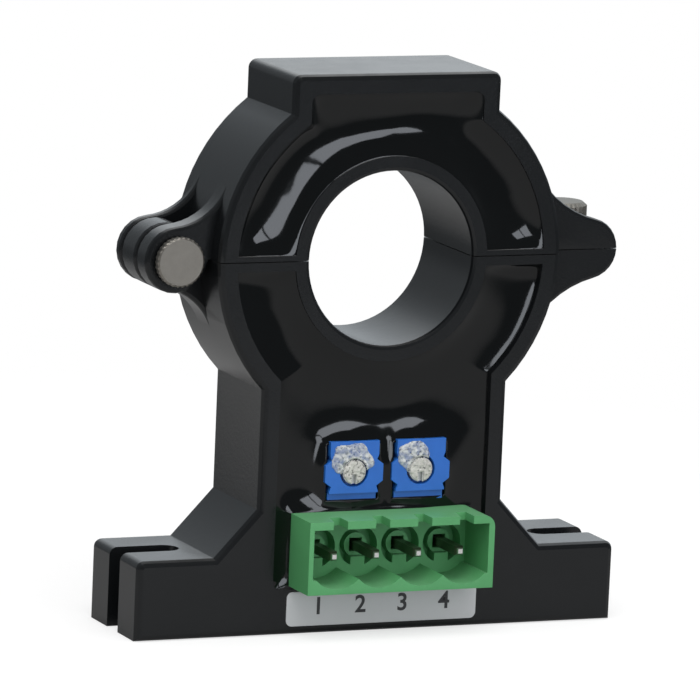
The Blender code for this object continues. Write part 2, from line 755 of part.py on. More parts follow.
def make_amplifier(materials, parent):
    # Small-outline package: a moulded body with flat legs along its top and bottom
    level = TRIMMER_BOTTOM - CHIP_DROP
    bm = bmesh.new()
    add_box(bm, *part_box(0, level, (CHIP_LENGTH, CHIP_THICKNESS, CHIP_BODY), 0))
    chip = put(mesh_object("amplifier_chip", bm, materials["chip"]), parent)
    legs = bmesh.new()
    for i in range(CHIP_LEG_COUNT):
        x = (i - (CHIP_LEG_COUNT - 1) / 2) * CHIP_LEG_PITCH
        add_box(legs, (x - CHIP_LEG_WIDTH / 2, PARTS_FRONT + CHIP_LEG_THICKNESS, level - CHIP_SPAN / 2),
                (x + CHIP_LEG_WIDTH / 2, PARTS_FRONT + 2 * CHIP_LEG_THICKNESS, level + CHIP_SPAN / 2))
    join(chip, legs, "legs")
    return chip


def trimmer_outline(middle):
    half_height = TRIMMER_HEIGHT / 2
    side = [(TRIMMER_SHOULDER, -half_height), (TRIMMER_SHOULDER, TRIMMER_NOTCH_BOTTOM - TRIMMER_BAND),
            (TRIMMER_WAIST, TRIMMER_NOTCH_BOTTOM), (TRIMMER_HALF_WIDTH, TRIMMER_NOTCH_BOTTOM + TRIMMER_BAND),
            (TRIMMER_HALF_WIDTH, TRIMMER_NOTCH_TOP - TRIMMER_BAND), (TRIMMER_WAIST, TRIMMER_NOTCH_TOP),
            (TRIMMER_SHOULDER, TRIMMER_NOTCH_TOP + TRIMMER_BAND), (TRIMMER_SHOULDER, half_height)]
    return [(middle + x, TRIMMER_MIDDLE + z) for x, z in side + mirrored(side)]


def make_trimmer(name, middle, materials, parent):
    bm = bmesh.new()
    add_prism(bm, trimmer_outline(middle), FRONT, FRONT + TRIMMER_DEPTH)
    body = put(mesh_object("trimmer_body_" + name, bm, materials["trimmer"]), parent)
    step = bmesh.new()
    ledge_top = TRIMMER_BOTTOM + TRIMMER_LEDGE_HEIGHT
    reach = TRIMMER_HALF_WIDTH + OVERRUN
    add_box(step, (middle - reach, FRONT - OVERRUN, TRIMMER_BOTTOM - OVERRUN),
            (middle + reach, FRONT + TRIMMER_LEDGE_STEP, ledge_top))
    cut(body, step, "ledge")
    seat = bmesh.new()
    ring = [(middle + x, TRIMMER_MIDDLE + z) for x, z in circle(ROTOR_RADIUS + CLEARANCE)]
    add_prism(seat, ring, FRONT - OVERRUN, FRONT + ROTOR_THICKNESS + CLEARANCE)
    cut(body, seat, "rotor_seat")
    legs = bmesh.new()
    for x, z in leg_places(middle):
        outline = [(x + a, z + b) for a, b in circle(LEG_RADIUS, count=LEG_SIDES)]
        add_prism(legs, outline, FRONT + TRIMMER_DEPTH - FUSE, BOARD_BACK + LEG_TAIL)
    join(body, legs, "legs")
    # The rotor's own origin lies on its turning axis
    disc = bmesh.new()
    add_prism(disc, circle(ROTOR_RADIUS), 0, ROTOR_THICKNESS)
    rotor = mesh_object("trimmer_rotor_" + name, disc, materials["rotor"])
    put(rotor, parent, (middle, FRONT, TRIMMER_MIDDLE))
    groove = bmesh.new()
    half = ROTOR_SLOT_WIDTH / 2
    length = ROTOR_RADIUS + OVERRUN
    add_box(groove, (-half, -OVERRUN, -length), (half, ROTOR_SLOT_DEPTH, length))
    cut(rotor, groove, "slot")


# Terminal header

def header_outline():
    left, right = HEADER_SHIFT - HEADER_HALF_LENGTH, HEADER_SHIFT + HEADER_HALF_LENGTH
    corner = round_corner((right, HEADER_BOTTOM), (right, HEADER_TOP), (left, HEADER_TOP), HEADER_CORNER_RADIUS)
    return [(left, HEADER_BOTTOM), (right, HEADER_BOTTOM)] + corner + [(left, HEADER_TOP)]


def socket_outline():
    # Straight at the top and sides, scalloped below, with one scallop under each pin
    left = HEADER_SHIFT - HEADER_HALF_LENGTH + HEADER_LEFT_WALL
    right = HEADER_SHIFT + HEADER_HALF_LENGTH - HEADER_RIGHT_WALL
    top = HEADER_TOP - HEADER_TOP_WALL
    spread = math.degrees(math.asin(PIN_PITCH / 2 / SCALLOP_RADIUS))
    cusp = PIN_LEVEL - SCALLOP_RADIUS * math.cos(math.radians(spread))
    points = [(right, top), (left, top), (left, cusp)]
    for x in PIN_PLACES:
        scallop = arc(x, PIN_LEVEL, SCALLOP_RADIUS, 270 - spread, 270 + spread, SMALL_ARC_STEP)
        points += scallop if x == PIN_PLACES[0] else scallop[1:]
    return points + [(right, cusp)]


def make_header(materials, parent):
    bm = bmesh.new()
    add_prism(bm, header_outline(), HEADER_FRONT, HEADER_BACK)
    header = put(mesh_object("terminal_header", bm, materials["header"]), parent)
    socket = bmesh.new()
    add_prism(socket, socket_outline(), HEADER_FRONT - OVERRUN, SOCKET_FLOOR)
    cut(header, socket, "socket")
    wells = bmesh.new()
    collars = bmesh.new()
    pads = bmesh.new()
    notches = bmesh.new()
    well_floor = SOCKET_FLOOR + WELL_DEPTH
    for x in PIN_PLACES:
        well = [(x + a, PIN_LEVEL + b) for a, b in circle(WELL_RADIUS)]
        add_prism(wells, well, SOCKET_FLOOR - OVERRUN, well_floor)
        collar = [(x + a, PIN_LEVEL + b) for a, b in circle(COLLAR_RADIUS, count=COLLAR_SIDES)]
        add_prism(collars, collar, well_floor - COLLAR_HEIGHT, well_floor + FUSE)
        pad_top = PIN_LEVEL - COLLAR_RADIUS + FUSE
        add_box(pads, (x - PAD_WIDTH / 2, SOCKET_FLOOR, pad_top - PAD_HEIGHT),
                (x + PAD_WIDTH / 2, well_floor + FUSE, pad_top))
        left, right = x - NOTCH_WIDTH / 2, x + NOTCH_WIDTH / 2
        notch = [(left, HEADER_FRONT - OVERRUN), (right, HEADER_FRONT - OVERRUN),
                 (right, HEADER_FRONT + NOTCH_LENGTH), (right - NOTCH_BACK_WIDTH, HEADER_FRONT + NOTCH_LENGTH)]
        add_column(notches, notch, HEADER_TOP - HEADER_TOP_WALL - FUSE, HEADER_TOP + OVERRUN)
    cut(header, wells, "wells")
    join(header, collars, "collars")
    join(header, pads, "pads")
    cut(header, notches, "notches")
    holes = bmesh.new()
    add_pin_bars(holes, PIN_HOLE_GAP, SOCKET_FLOOR - OVERRUN, HEADER_BACK + OVERRUN)
    cut(header, holes, "pin_holes")
    return header


def make_pins(materials, parent):
    half = PIN_SIZE / 2
    tip = half - PIN_TIP_TAPER / 2
    front = HEADER_FRONT + PIN_TIP_SETBACK
    stations = [(front, tip), (front + PIN_TIP_TAPER, half), (BOARD_BACK + PIN_TAIL, half)]
    for i, x in enumerate(PIN_PLACES):
        bm = bmesh.new()
        loops = []
        for y, reach in stations:
            corners = ((-reach, -reach), (reach, -reach), (reach, reach), (-reach, reach))
            loops.append([(a, y, b) for a, b in corners])
        add_loops(bm, loops)
        pin = mesh_object("terminal_pin_" + str(i + 1), bm, materials["pin"])
        put(pin, parent, (x, 0, PIN_LEVEL))


# Potting

def make_upper_potting(materials, parent, place):
    bm = bmesh.new()
    add_prism(bm, upper_cavity_outline(CLEARANCE), POTTING_FRONT, POTTING_BACK)
    potting = put(mesh_object("upper_potting", bm, materials["potting"]), parent, place)
    cut(potting, core_channel("upper"), "core_channel")
    return potting


def core_channel(half):
    # The room that a core half takes out of the resin, open at the back and at the split
    bm = bmesh.new()
    outer, inner = CORE_OUTER + CLEARANCE, CORE_INNER - CLEARANCE
    outline = arc(0, 0, outer, 0, 180) + arc(0, 0, inner, 180, 0)
    if half == "lower":
        outline = flipped(outline)
    add_prism(bm, outline, CORE_FRONT - CLEARANCE, POTTING_BACK + OVERRUN)
    return bm


def make_lower_potting(materials, parent):
    bm = bmesh.new()
    add_prism(bm, lower_cavity_outline(CLEARANCE), POTTING_FRONT, POTTING_BACK)
    potting = put(mesh_object("lower_potting", bm, materials["potting"]), parent)
    cut(potting, core_channel("lower"), "core_channel")
    hall_room = bmesh.new()
    low, high = hall_lead_box(CLEARANCE)
    add_box(hall_room, low, high)
    cut(potting, hall_room, "lead_channel")
    board_room = bmesh.new()
    add_box(board_room, (-BOARD_HALF_WIDTH - CLEARANCE, BOARD_FRONT - CLEARANCE, BOARD_BOTTOM - CLEARANCE),
            (BOARD_HALF_WIDTH + CLEARANCE, BOARD_BACK + CLEARANCE, BOARD_TOP + CLEARANCE))
    cut(potting, board_room, "board_room")
    parts_room = bmesh.new()
    for x, z, size, _ in board_parts().values():
        add_box(parts_room, *part_box(x, z, size, CLEARANCE))
    chip_room = (CHIP_LENGTH, CHIP_THICKNESS, CHIP_SPAN)
    add_box(parts_room, *part_box(0, TRIMMER_BOTTOM - CHIP_DROP, chip_room, CLEARANCE))
    add_pin_bars(parts_room, CLEARANCE, BOARD_BACK, BOARD_BACK + PIN_TAIL + CLEARANCE)
    add_legs(parts_room, CLEARANCE, BOARD_BACK, BOARD_BACK + LEG_TAIL + CLEARANCE)
    cut(potting, parts_room, "parts_room")
    trimmer_room = bmesh.new()
    for middle in TRIMMER_PLACES.values():
        reach = TRIMMER_HALF_WIDTH + CLEARANCE
        add_box(trimmer_room, (middle - reach, FRONT - OVERRUN, TRIMMER_BOTTOM - CLEARANCE),
                (middle + reach, BOARD_FRONT, TRIMMER_TOP + CLEARANCE))
    cut(potting, trimmer_room, "trimmer_room")
    header_room = bmesh.new()
    reach = HEADER_HALF_LENGTH + CLEARANCE
    add_box(header_room, (HEADER_SHIFT - reach, FRONT - OVERRUN, CAVITY_FLOOR - OVERRUN),
            (HEADER_SHIFT + reach, BOARD_FRONT, HEADER_TOP + CLEARANCE))
    cut(potting, header_room, "header_room")
    return potting


# Metal pieces

def knurled_loops(radius, low, high, chamfer):
    # Four loops of one knurled knob along its axis, as (height, points)
    plain = circle(radius - KNOB_TOOTH_DEPTH - chamfer, count=2 * KNOB_TEETH)
    ridged = circle(radius, KNOB_TEETH, KNOB_TOOTH_DEPTH)
    return [(low, plain), (low + chamfer, ridged), (high - chamfer, ridged), (high, plain)]


def make_hinge_pin(materials, parent):
    # Knurled head in front of the front lobe, plain shank through all three lobes, along +Y
    head_back = EAR_FRONT - CLEARANCE
    head_front = head_back - HINGE_KNOB_THICKNESS
    shank = circle(SHANK_RADIUS, count=2 * KNOB_TEETH)
    stations = knurled_loops(KNOB_RADIUS, head_front, head_back, HINGE_KNOB_CHAMFER)
    stations += [(head_back, shank), (BACK_LOBE_BACK, shank)]
    bm = bmesh.new()
    add_loops(bm, [[(x, y, z) for x, z in points] for y, points in stations])
    return put(mesh_object("hinge_pin", bm, materials["steel"]), parent)


def make_clamp_screw(materials, parent):
    # Knurled head in the ear's slot and a shank that reaches the lower half's insert, along -Z
    seat = CLAMP_SEAT + CLEARANCE
    end = -SPLIT - CLEARANCE - INSERT_LENGTH
    shank = circle(SHANK_RADIUS, count=2 * KNOB_TEETH)
    stations = [(end, shank), (seat, shank)]
    stations += knurled_loops(KNOB_RADIUS, seat, seat + CLAMP_KNOB_HEIGHT, CLAMP_KNOB_CHAMFER)
    bm = bmesh.new()
    add_loops(bm, [[(x, y, z) for x, y in points] for z, points in stations])
    return put(mesh_object("clamp_screw", bm, materials["steel"]), parent)


def make_clamp_insert(materials, parent):
    # Brass bush moulded into the lower ear
    top = -SPLIT - CLEARANCE
    bm = bmesh.new()
    add_column(bm, circle(INSERT_RADIUS), top - INSERT_LENGTH, top)
    insert = put(mesh_object("clamp_insert", bm, materials["brass"]), parent, (CLAMP_X, CLAMP_Y, 0))
    bore = bmesh.new()
    add_column(bore, circle(SHANK_HOLE), top - INSERT_LENGTH - OVERRUN, top + OVERRUN)
    cut(insert, bore, "bore")
    return insert


def make_label(materials, parent):
    top = CAVITY_FLOOR - LABEL_DROP
    bottom = top - LABEL_HEIGHT
    left, right = LABEL_SHIFT - LABEL_HALF_LENGTH, LABEL_SHIFT + LABEL_HALF_LENGTH
    corners = [(left, bottom), (right, bottom), (right, top), (left, top)]
    outline = []
    for i, corner in enumerate(corners):
        outline += round_corner(corners[i - 1], corner, corners[(i + 1) % 4], LABEL_CORNER_RADIUS)
    bm = bmesh.new()
    add_prism(bm, outline, FRONT - CLEARANCE - LABEL_THICKNESS, FRONT - CLEARANCE)
    return put(mesh_object("label_plate", bm, materials["label"]), parent)


def build():
    clear_scene()
    materials = make_materials()
    window = empty("window_centre", (0, 0, WINDOW_HEIGHT))
    hinge = empty("hinge_axis", (-HINGE_X, 0, 0), window)
    clamp = empty("clamp_axis", (CLAMP_X + HINGE_X, CLAMP_Y, 0), hinge)
    from_hinge = (HINGE_X, 0, 0)
    make_upper_housing(materials, hinge, from_hinge)
    make_upper_core(materials, hinge, from_hinge)
    make_upper_potting(materials, hinge, from_hinge)
    make_hinge_pin(materials, hinge)
    make_clamp_screw(materials, clamp)
    make_lower_housing(materials, window)
    make_lower_cores(materials, window)
    make_hall_element(materials, window)
    make_lower_potting(materials, window)
    make_clamp_insert(materials, window)
    make_board(materials, window)
    make_amplifier(materials, window)
    make_board_parts(materials, window)
    for name, middle in TRIMMER_PLACES.items():
        make_trimmer(name, middle, materials, window)
    make_header(materials, window)
    make_pins(materials, window)
    make_label(materials, window)
    bpy.context.view_layer.update()


build()
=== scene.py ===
import json
import math

import bmesh
import bpy
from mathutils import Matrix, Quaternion, Vector, noise


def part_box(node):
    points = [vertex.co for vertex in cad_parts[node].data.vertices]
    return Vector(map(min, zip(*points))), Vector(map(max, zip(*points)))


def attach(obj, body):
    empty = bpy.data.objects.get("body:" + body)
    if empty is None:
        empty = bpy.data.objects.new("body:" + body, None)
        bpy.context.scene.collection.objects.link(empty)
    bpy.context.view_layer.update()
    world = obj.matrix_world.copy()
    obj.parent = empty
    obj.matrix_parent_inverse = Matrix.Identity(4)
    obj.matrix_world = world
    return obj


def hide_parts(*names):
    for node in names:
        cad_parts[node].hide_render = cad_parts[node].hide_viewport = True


mm = 0.001

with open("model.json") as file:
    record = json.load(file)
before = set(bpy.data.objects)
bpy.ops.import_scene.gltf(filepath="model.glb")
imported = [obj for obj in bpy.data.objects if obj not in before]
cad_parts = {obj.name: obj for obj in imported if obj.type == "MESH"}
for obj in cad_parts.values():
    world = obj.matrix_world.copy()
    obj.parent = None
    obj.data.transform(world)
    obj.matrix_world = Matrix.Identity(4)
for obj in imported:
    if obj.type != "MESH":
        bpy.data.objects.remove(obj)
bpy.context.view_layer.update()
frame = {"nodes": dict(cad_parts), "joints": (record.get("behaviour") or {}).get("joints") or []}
nodes = frame["nodes"]
jointPlace = {joint["name"]: joint.get("pos_m") for joint in frame["joints"]}
windowHeight = jointPlace["upper_half_swing"][2]    # the hinge is level with the window's centre
print("frame loaded")


# Helpers for nodes and objects

# A Mix node's number and colour sockets share their names, so they are told apart by their place
numberA, numberB = 2, 3
colourA, colourB, colourOut = 6, 7, 2


def addNode(tree, kind, place, settings=None, values=None):
    node = tree.nodes.new(kind)
    node.location = place
    for key, value in (settings or {}).items():
        setattr(node, key, value)
    for key, value in (values or {}).items():
        node.inputs[key].default_value = value
    return node


def join(tree, fromNode, fromSocket, toNode, toSocket):
    tree.links.new(fromNode.outputs[fromSocket], toNode.inputs[toSocket])


def addMath(tree, place, operation, second=None):
    # second is the node's second value, where it is fixed
    node = addNode(tree, "ShaderNodeMath", place, {"operation": operation})
    if second is not None:
        node.inputs[1].default_value = second
    return node


def addRange(tree, place, limits, low=0.0, high=1.0, smooth=False):
    # Values between the limits become low to high, with soft ends where smooth
    return addNode(tree, "ShaderNodeMapRange", place,
                   {"interpolation_type": "SMOOTHSTEP" if smooth else "LINEAR"},
                   {"From Min": limits[0], "From Max": limits[1], "To Min": low, "To Max": high})


def addNoise(tree, coordinates, place, values):
    # Noise over the object's own coordinates
    cloud = addNode(tree, "ShaderNodeTexNoise", place, values=values)
    join(tree, coordinates, "Object", cloud, "Vector")
    return cloud


def addGroup(tree, group, place, values):
    return addNode(tree, "ShaderNodeGroup", place, {"node_tree": group}, values)


def colourOf(values):
    return (*values, 1.0)


def mixColour(tree, place, mask, under, over):
    # The colour over shows where the mask is. mask, under and the result are each a node and its socket
    mix = addNode(tree, "ShaderNodeMix", place, {"data_type": "RGBA"}, {colourB: colourOf(over)})
    join(tree, *mask, mix, "Factor")
    join(tree, *under, mix, colourA)
    return mix, colourOut


def addObject(name, data):
    item = bpy.data.objects.new(name, data)
    bpy.context.collection.objects.link(item)
    return item


def makePiece(name, bm, material):
    mesh = bpy.data.meshes.new(name)
    bm.to_mesh(mesh)
    bm.free()
    mesh.materials.append(material)
    return addObject(name, mesh)


def aimAt(item, place, aim, roll, shift=0.0):
    # The item looks at aim, rolled by degrees about that line and moved sideways by shift
    turn = (Vector(place) - Vector(aim)).to_track_quat("Z", "Y") @ Quaternion((0, 0, 1), math.radians(roll))
    item.location = Vector(place) + turn @ Vector((shift, 0, 0))
    item.rotation_mode = "QUATERNION"
    item.rotation_quaternion = turn


# Effects that several materials share

texture = {
    "driftDetail": 4.0, "driftRough": 0.55,
    "grainDetail": 2.0, "grainRough": 0.6,
    "wanderScale": 260.0, "wanderDetail": 3.0,
    "dustDetail": 6.0, "dustRough": 0.7, "dustFrom": (0.58, 0.8),
    "patchScale": 90.0, "patchDetail": 2.0, "patchFrom": (0.45, 0.7),
    "topLightDetail": 5.0, "topLightRough": 0.65, "topLightFrom": (0.3, 0.7), "topLightLeast": 0.6,
    "topLightUp": (0.75, 0.98),       # how far a face looks up where the painted top light starts, and where it is full
    "streakDetail": 3.0,
}


def startGroup(name, inputs, outputs):
    # inputs: name, socket type and starting value; outputs: name and socket type
    tree = bpy.data.node_groups.new(name, "ShaderNodeTree")
    for label, kind, value in inputs:
        tree.interface.new_socket(label, in_out="INPUT", socket_type=kind).default_value = value
    for label, kind in outputs:
        tree.interface.new_socket(label, in_out="OUTPUT", socket_type=kind)
    start = addNode(tree, "NodeGroupInput", (-900, 0))
    end = addNode(tree, "NodeGroupOutput", (500, 0))
    place = addNode(tree, "ShaderNodeTexCoord", (-900, -250))
    return tree, start, end, place


def makeMottleGroup():
    # Slow drift of tone: a colour and a roughness that wander about their own values
    tree, start, end, place = startGroup("mottle", [
        ("Colour", "NodeSocketColor", (0.5, 0.5, 0.5, 1)), ("Roughness", "NodeSocketFloat", 0.5),
        ("Scale", "NodeSocketFloat", 200.0), ("Amount", "NodeSocketFloat", 0.2)],
        [("Colour", "NodeSocketColor"), ("Roughness", "NodeSocketFloat")])
    cloud = addNoise(tree, place, (-650, -250), {
        "Detail": texture["driftDetail"], "Roughness": texture["driftRough"]})
    centre = addMath(tree, (-450, -250), "SUBTRACT", 0.5)
    swing = addMath(tree, (-250, -250), "MULTIPLY")
    factor = addMath(tree, (-50, -250), "ADD", 1.0)
    tint = addNode(tree, "ShaderNodeVectorMath", (150, 0), {"operation": "SCALE"})
    rough = addMath(tree, (150, -250), "MULTIPLY")
    join(tree, start, "Scale", cloud, "Scale")
    join(tree, cloud, "Fac", centre, 0)
    join(tree, centre, 0, swing, 0)
    join(tree, start, "Amount", swing, 1)
    join(tree, swing, 0, factor, 0)
    join(tree, start, "Colour", tint, 0)
    join(tree, factor, 0, tint, "Scale")
    join(tree, start, "Roughness", rough, 0)
    join(tree, factor, 0, rough, 1)
    join(tree, tint, 0, end, "Colour")
    join(tree, rough, 0, end, "Roughness")
    return tree


def makeGrainGroup():
    # Fine moulded texture as a height: spark-eroded pits with a little coarse wander
    tree, start, end, place = startGroup("mouldGrain", [
        ("Scale", "NodeSocketFloat", 3000.0), ("Wander", "NodeSocketFloat", 0.3)],
        [("Height", "NodeSocketFloat")])
    fine = addNoise(tree, place, (-600, 0), {
        "Detail": texture["grainDetail"], "Roughness": texture["grainRough"]})
    coarse = addNoise(tree, place, (-600, -300), {
        "Scale": texture["wanderScale"], "Detail": texture["wanderDetail"]})
    weigh = addMath(tree, (-350, -300), "MULTIPLY")
    total = addMath(tree, (-100, 0), "ADD")
    join(tree, start, "Scale", fine, "Scale")
    join(tree, coarse, "Fac", weigh, 0)
    join(tree, start, "Wander", weigh, 1)
    join(tree, fine, "Fac", total, 0)
    join(tree, weigh, 0, total, 1)
    join(tree, total, 0, end, "Height")
    return tree


def endMask(tree, start, end, first, second):
    # The mask is the product of two values and the cover
    both = addMath(tree, (-150, -100), "MULTIPLY")
    cover = addMath(tree, (50, -100), "MULTIPLY")
    join(tree, first, 0, both, 0)
    join(tree, second, 0, both, 1)
    join(tree, both, 0, cover, 0)
    join(tree, start, "Cover", cover, 1)
    join(tree, cover, 0, end, "Mask")
    return tree


def makeDustGroup():
    # Pale dust, handling marks or tarnish: specks that gather in patches
    tree, start, end, place = startGroup("dust", [
        ("Scale", "NodeSocketFloat", 500.0), ("Cover", "NodeSocketFloat", 0.3)],
        [("Mask", "NodeSocketFloat")])
    specks = addNoise(tree, place, (-650, 0), {
        "Detail": texture["dustDetail"], "Roughness": texture["dustRough"]})
    patches = addNoise(tree, place, (-650, -300), {
        "Scale": texture["patchScale"], "Detail": texture["patchDetail"]})
    keep = addRange(tree, (-400, 0), texture["dustFrom"])
    where = addRange(tree, (-400, -300), texture["patchFrom"])
    join(tree, start, "Scale", specks, "Scale")
    join(tree, specks, "Fac", keep, "Value")
    join(tree, patches, "Fac", where, "Value")
    return endMask(tree, start, end, keep, where)


def makeSettleGroup():
    # Painted top light: a paler tone, a little uneven, on faces that look up
    tree, start, end, place = startGroup("topLightMask", [
        ("Scale", "NodeSocketFloat", 300.0), ("Cover", "NodeSocketFloat", 0.3)],
        [("Mask", "NodeSocketFloat")])
    parts = addNode(tree, "ShaderNodeSeparateXYZ", (-650, 0))
    up = addRange(tree, (-400, 0), texture["topLightUp"])
    cloud = addNoise(tree, place, (-650, -300), {
        "Detail": texture["topLightDetail"], "Roughness": texture["topLightRough"]})
    patch = addRange(tree, (-400, -300), texture["topLightFrom"], low=texture["topLightLeast"])
    join(tree, place, "Normal", parts, "Vector")
    join(tree, parts, "Z", up, "Value")
    join(tree, start, "Scale", cloud, "Scale")
    join(tree, cloud, "Fac", patch, "Value")
    return endMask(tree, start, end, up, patch)


mottleGroup = makeMottleGroup()
grainGroup = makeGrainGroup()
dustGroup = makeDustGroup()
topLightGroup = makeSettleGroup()


# Materials

def startMaterial(name, sockets):
    material = bpy.data.materials.new(name)
    material.use_nodes = True
    tree = material.node_tree
    shader = tree.nodes["Principled BSDF"]
    for key, value in sockets.items():
        shader.inputs[key].default_value = value
    return material, tree, shader


def addMottle(tree, look):
    return addGroup(tree, mottleGroup, (-700, 200), {
        "Colour": colourOf(look["colour"]), "Roughness": look["roughness"],
        "Scale": look["driftScale"], "Amount": look["drift"]})


def addGrain(tree, shader, look):
    grain = addGroup(tree, grainGroup, (-700, -350), {
        "Scale": look["grainScale"], "Wander": look["wander"]})
    bump = addNode(tree, "ShaderNodeBump", (-350, -350), values={
        "Strength": look["grain"], "Distance": look["grainDepth"]})
    join(tree, grain, "Height", bump, "Height")
    join(tree, bump, "Normal", shader, "Normal")


def makeFinish(name, look):
    # Moulding, resin, film or ink: mottled colour, with the dust, the painted top light and the grain that
    # its look names
    material, tree, shader = startMaterial(name, {
        "Metallic": look.get("metallic", 0.0), "IOR": look.get("ior", 1.5),
        "Specular IOR Level": look.get("specular", 0.5)})
    mottle = addMottle(tree, look)
    toned = mottle, "Colour"
    if "dust" in look:
        dust = addGroup(tree, dustGroup, (-700, -100), {
            "Scale": look["dustScale"], "Cover": look["dust"]})
        toned = mixColour(tree, (-350, 200), (dust, "Mask"), toned, look["dustColour"])
    # painted top light: faces that look up get a paler colour, as if lit from above
    if "paintedTopLight" in look:
        topLightMask = addGroup(tree, topLightGroup, (-700, 450), {
            "Scale": look["paintedTopLightScale"], "Cover": look["paintedTopLight"]})
        toned = mixColour(tree, (-150, 300), (topLightMask, "Mask"), toned, look["paintedTopLightColour"])
    join(tree, *toned, shader, "Base Color")
    join(tree, mottle, "Roughness", shader, "Roughness")
    if "grain" in look:
        addGrain(tree, shader, look)
    return material


def makeMetal(name, look):
    # Turned or drawn metal: streaks along one axis in the surface, tarnish in patches, perhaps a bright tip
    material, tree, shader = startMaterial(name, {"Metallic": look.get("metallic", 1.0)})
    mottle = addMottle(tree, look)
    tarnish = addGroup(tree, dustGroup, (-700, -50), {
        "Scale": look["tarnishScale"], "Cover": look["tarnish"]})
    toned = mixColour(tree, (-350, 200), (tarnish, "Mask"), (mottle, "Colour"), look["tarnishColour"])
    place = addNode(tree, "ShaderNodeTexCoord", (-1100, -300))
    if "tip" in look:
        along = addNode(tree, "ShaderNodeSeparateXYZ", (-900, 450))
        near = addRange(tree, (-700, 450), look["tipFrom"])
        join(tree, place, "Object", along, "Vector")
        join(tree, along, "Y", near, "Value")
        toned = mixColour(tree, (-150, 300), (near, 0), toned, look["tip"])
    stretch = addNode(tree, "ShaderNodeMapping", (-900, -300), values={"Scale": look["streak"]})
    lines = addNode(tree, "ShaderNodeTexNoise", (-700, -300), values={
        "Scale": 1.0, "Detail": texture["streakDetail"]})
    bump = addNode(tree, "ShaderNodeBump", (-350, -300), values={
        "Strength": look["grain"], "Distance": look["grainDepth"]})
    join(tree, place, "Object", stretch, "Vector")
    join(tree, stretch, "Vector", lines, "Vector")
    join(tree, lines, "Fac", bump, "Height")
    join(tree, *toned, shader, "Base Color")
    join(tree, mottle, "Roughness", shader, "Roughness")
    join(tree, bump, "Normal", shader, "Normal")
    return material


# Finishes of the imported solids. Colours are linear, and depths are in metres. Drift, dust, painted top
# light, tarnish and grain are shares, and the scales are those of their noise

housingLook = {
    "colour": (0.0058, 0.0066, 0.0074), "roughness": 0.24, "specular": 0.42,
    "drift": 0.35, "driftScale": 120.0,
    "dust": 0.2, "dustScale": 900.0, "dustColour": (0.035, 0.037, 0.04),
    # painted top light: a paler colour on faces that look up
    "paintedTopLight": 0.3, "paintedTopLightScale": 300.0, "paintedTopLightColour": (0.2, 0.198, 0.195),
    "grain": 0.45, "grainScale": 2800.0, "grainDepth": 0.00003, "wander": 0.5,
}
upperTopLight = 0.85     # the block's flat top gets more painted top light than the lower half
headerLook = {
    "colour": (0.09, 0.345, 0.13), "roughness": 0.42, "specular": 0.45,
    "drift": 0.25, "driftScale": 260.0,
    "dust": 0.3, "dustScale": 1500.0, "dustColour": (0.3, 0.52, 0.32),
    # painted top light on the header's upward faces
    "paintedTopLight": 0.25, "paintedTopLightScale": 300.0, "paintedTopLightColour": (0.3, 0.55, 0.34),
    "grain": 0.25, "grainScale": 5200.0, "grainDepth": 0.00002, "wander": 0.5,
}
trimmerLook = {
    "colour": (0.018, 0.135, 0.52), "roughness": 0.34,
    "drift": 0.3, "driftScale": 420.0,
    "dust": 0.2, "dustScale": 2200.0, "dustColour": (0.2, 0.38, 0.75),
    "grain": 0.2, "grainScale": 4200.0, "grainDepth": 0.00002, "wander": 0.6,
}
packageLook = {
    "colour": (0.016, 0.016, 0.018), "roughness": 0.55,
    "drift": 0.3, "driftScale": 500.0,
    "dust": 0.1, "dustScale": 2000.0, "dustColour": (0.08, 0.08, 0.08),
    "grain": 0.4, "grainScale": 6000.0, "grainDepth": 0.00002, "wander": 0.2,
}
boardLook = {
    "colour": (0.02, 0.15, 0.05), "roughness": 0.4,
    "drift": 0.25, "driftScale": 300.0,
    "dust": 0.1, "dustScale": 1200.0, "dustColour": (0.2, 0.3, 0.2),
    "grain": 0.5, "grainScale": 1400.0, "grainDepth": 0.00003, "wander": 0.1,
}
ceramicLook = {
    "colour": (0.42, 0.30, 0.17), "roughness": 0.5,
    "drift": 0.15, "driftScale": 600.0,
    "dust": 0.1, "dustScale": 1800.0, "dustColour": (0.5, 0.45, 0.35),
    "grain": 0.3, "grainScale": 5000.0, "grainDepth": 0.00002, "wander": 0.2,
}
steelLook = {
    "colour": (0.29, 0.27, 0.24), "roughness": 0.48,
    "drift": 0.4, "driftScale": 900.0, "streak": (2600.0, 1200.0, 2600.0),
    "tarnish": 0.6, "tarnishScale": 1100.0, "tarnishColour": (0.17, 0.15, 0.125),
    "grain": 0.35, "grainDepth": 0.00003,
}
pinLook = {
    "colour": (0.2, 0.195, 0.155), "roughness": 0.34,
    "tip": (0.8, 0.79, 0.76), "tipFrom": (-10.75 * mm, -10.9 * mm),    # where the bright tip starts
    "drift": 0.3, "driftScale": 700.0, "streak": (4000.0, 250.0, 4000.0),
    "tarnish": 0.6, "tarnishScale": 1400.0, "tarnishColour": (0.16, 0.14, 0.11),
    "grain": 0.3, "grainDepth": 0.00002,
}
brassLook = {
    "colour": (0.78, 0.56, 0.27), "roughness": 0.35,
    "drift": 0.2, "driftScale": 600.0, "streak": (900.0, 900.0, 6000.0),
    "tarnish": 0.3, "tarnishScale": 900.0, "tarnishColour": (0.35, 0.22, 0.1),
    "grain": 0.35, "grainDepth": 0.00002,
}
rotorLook = {
    "colour": (0.6, 0.6, 0.59), "roughness": 0.4, "metallic": 0.35,
    "drift": 0.2, "driftScale": 900.0, "streak": (3000.0, 3000.0, 500.0),
    "tarnish": 0.35, "tarnishScale": 1600.0, "tarnishColour": (0.33, 0.32, 0.31),
    "grain": 0.35, "grainDepth": 0.00003,
}
coreLook = {
    "colour": (0.40, 0.385, 0.36), "roughness": 0.42,
    "drift": 0.25, "driftScale": 500.0, "streak": (9000.0, 250.0, 900.0),
    "tarnish": 0.4, "tarnishScale": 1000.0, "tarnishColour": (0.2, 0.18, 0.15),
    "grain": 0.6, "grainDepth": 0.00004,
}
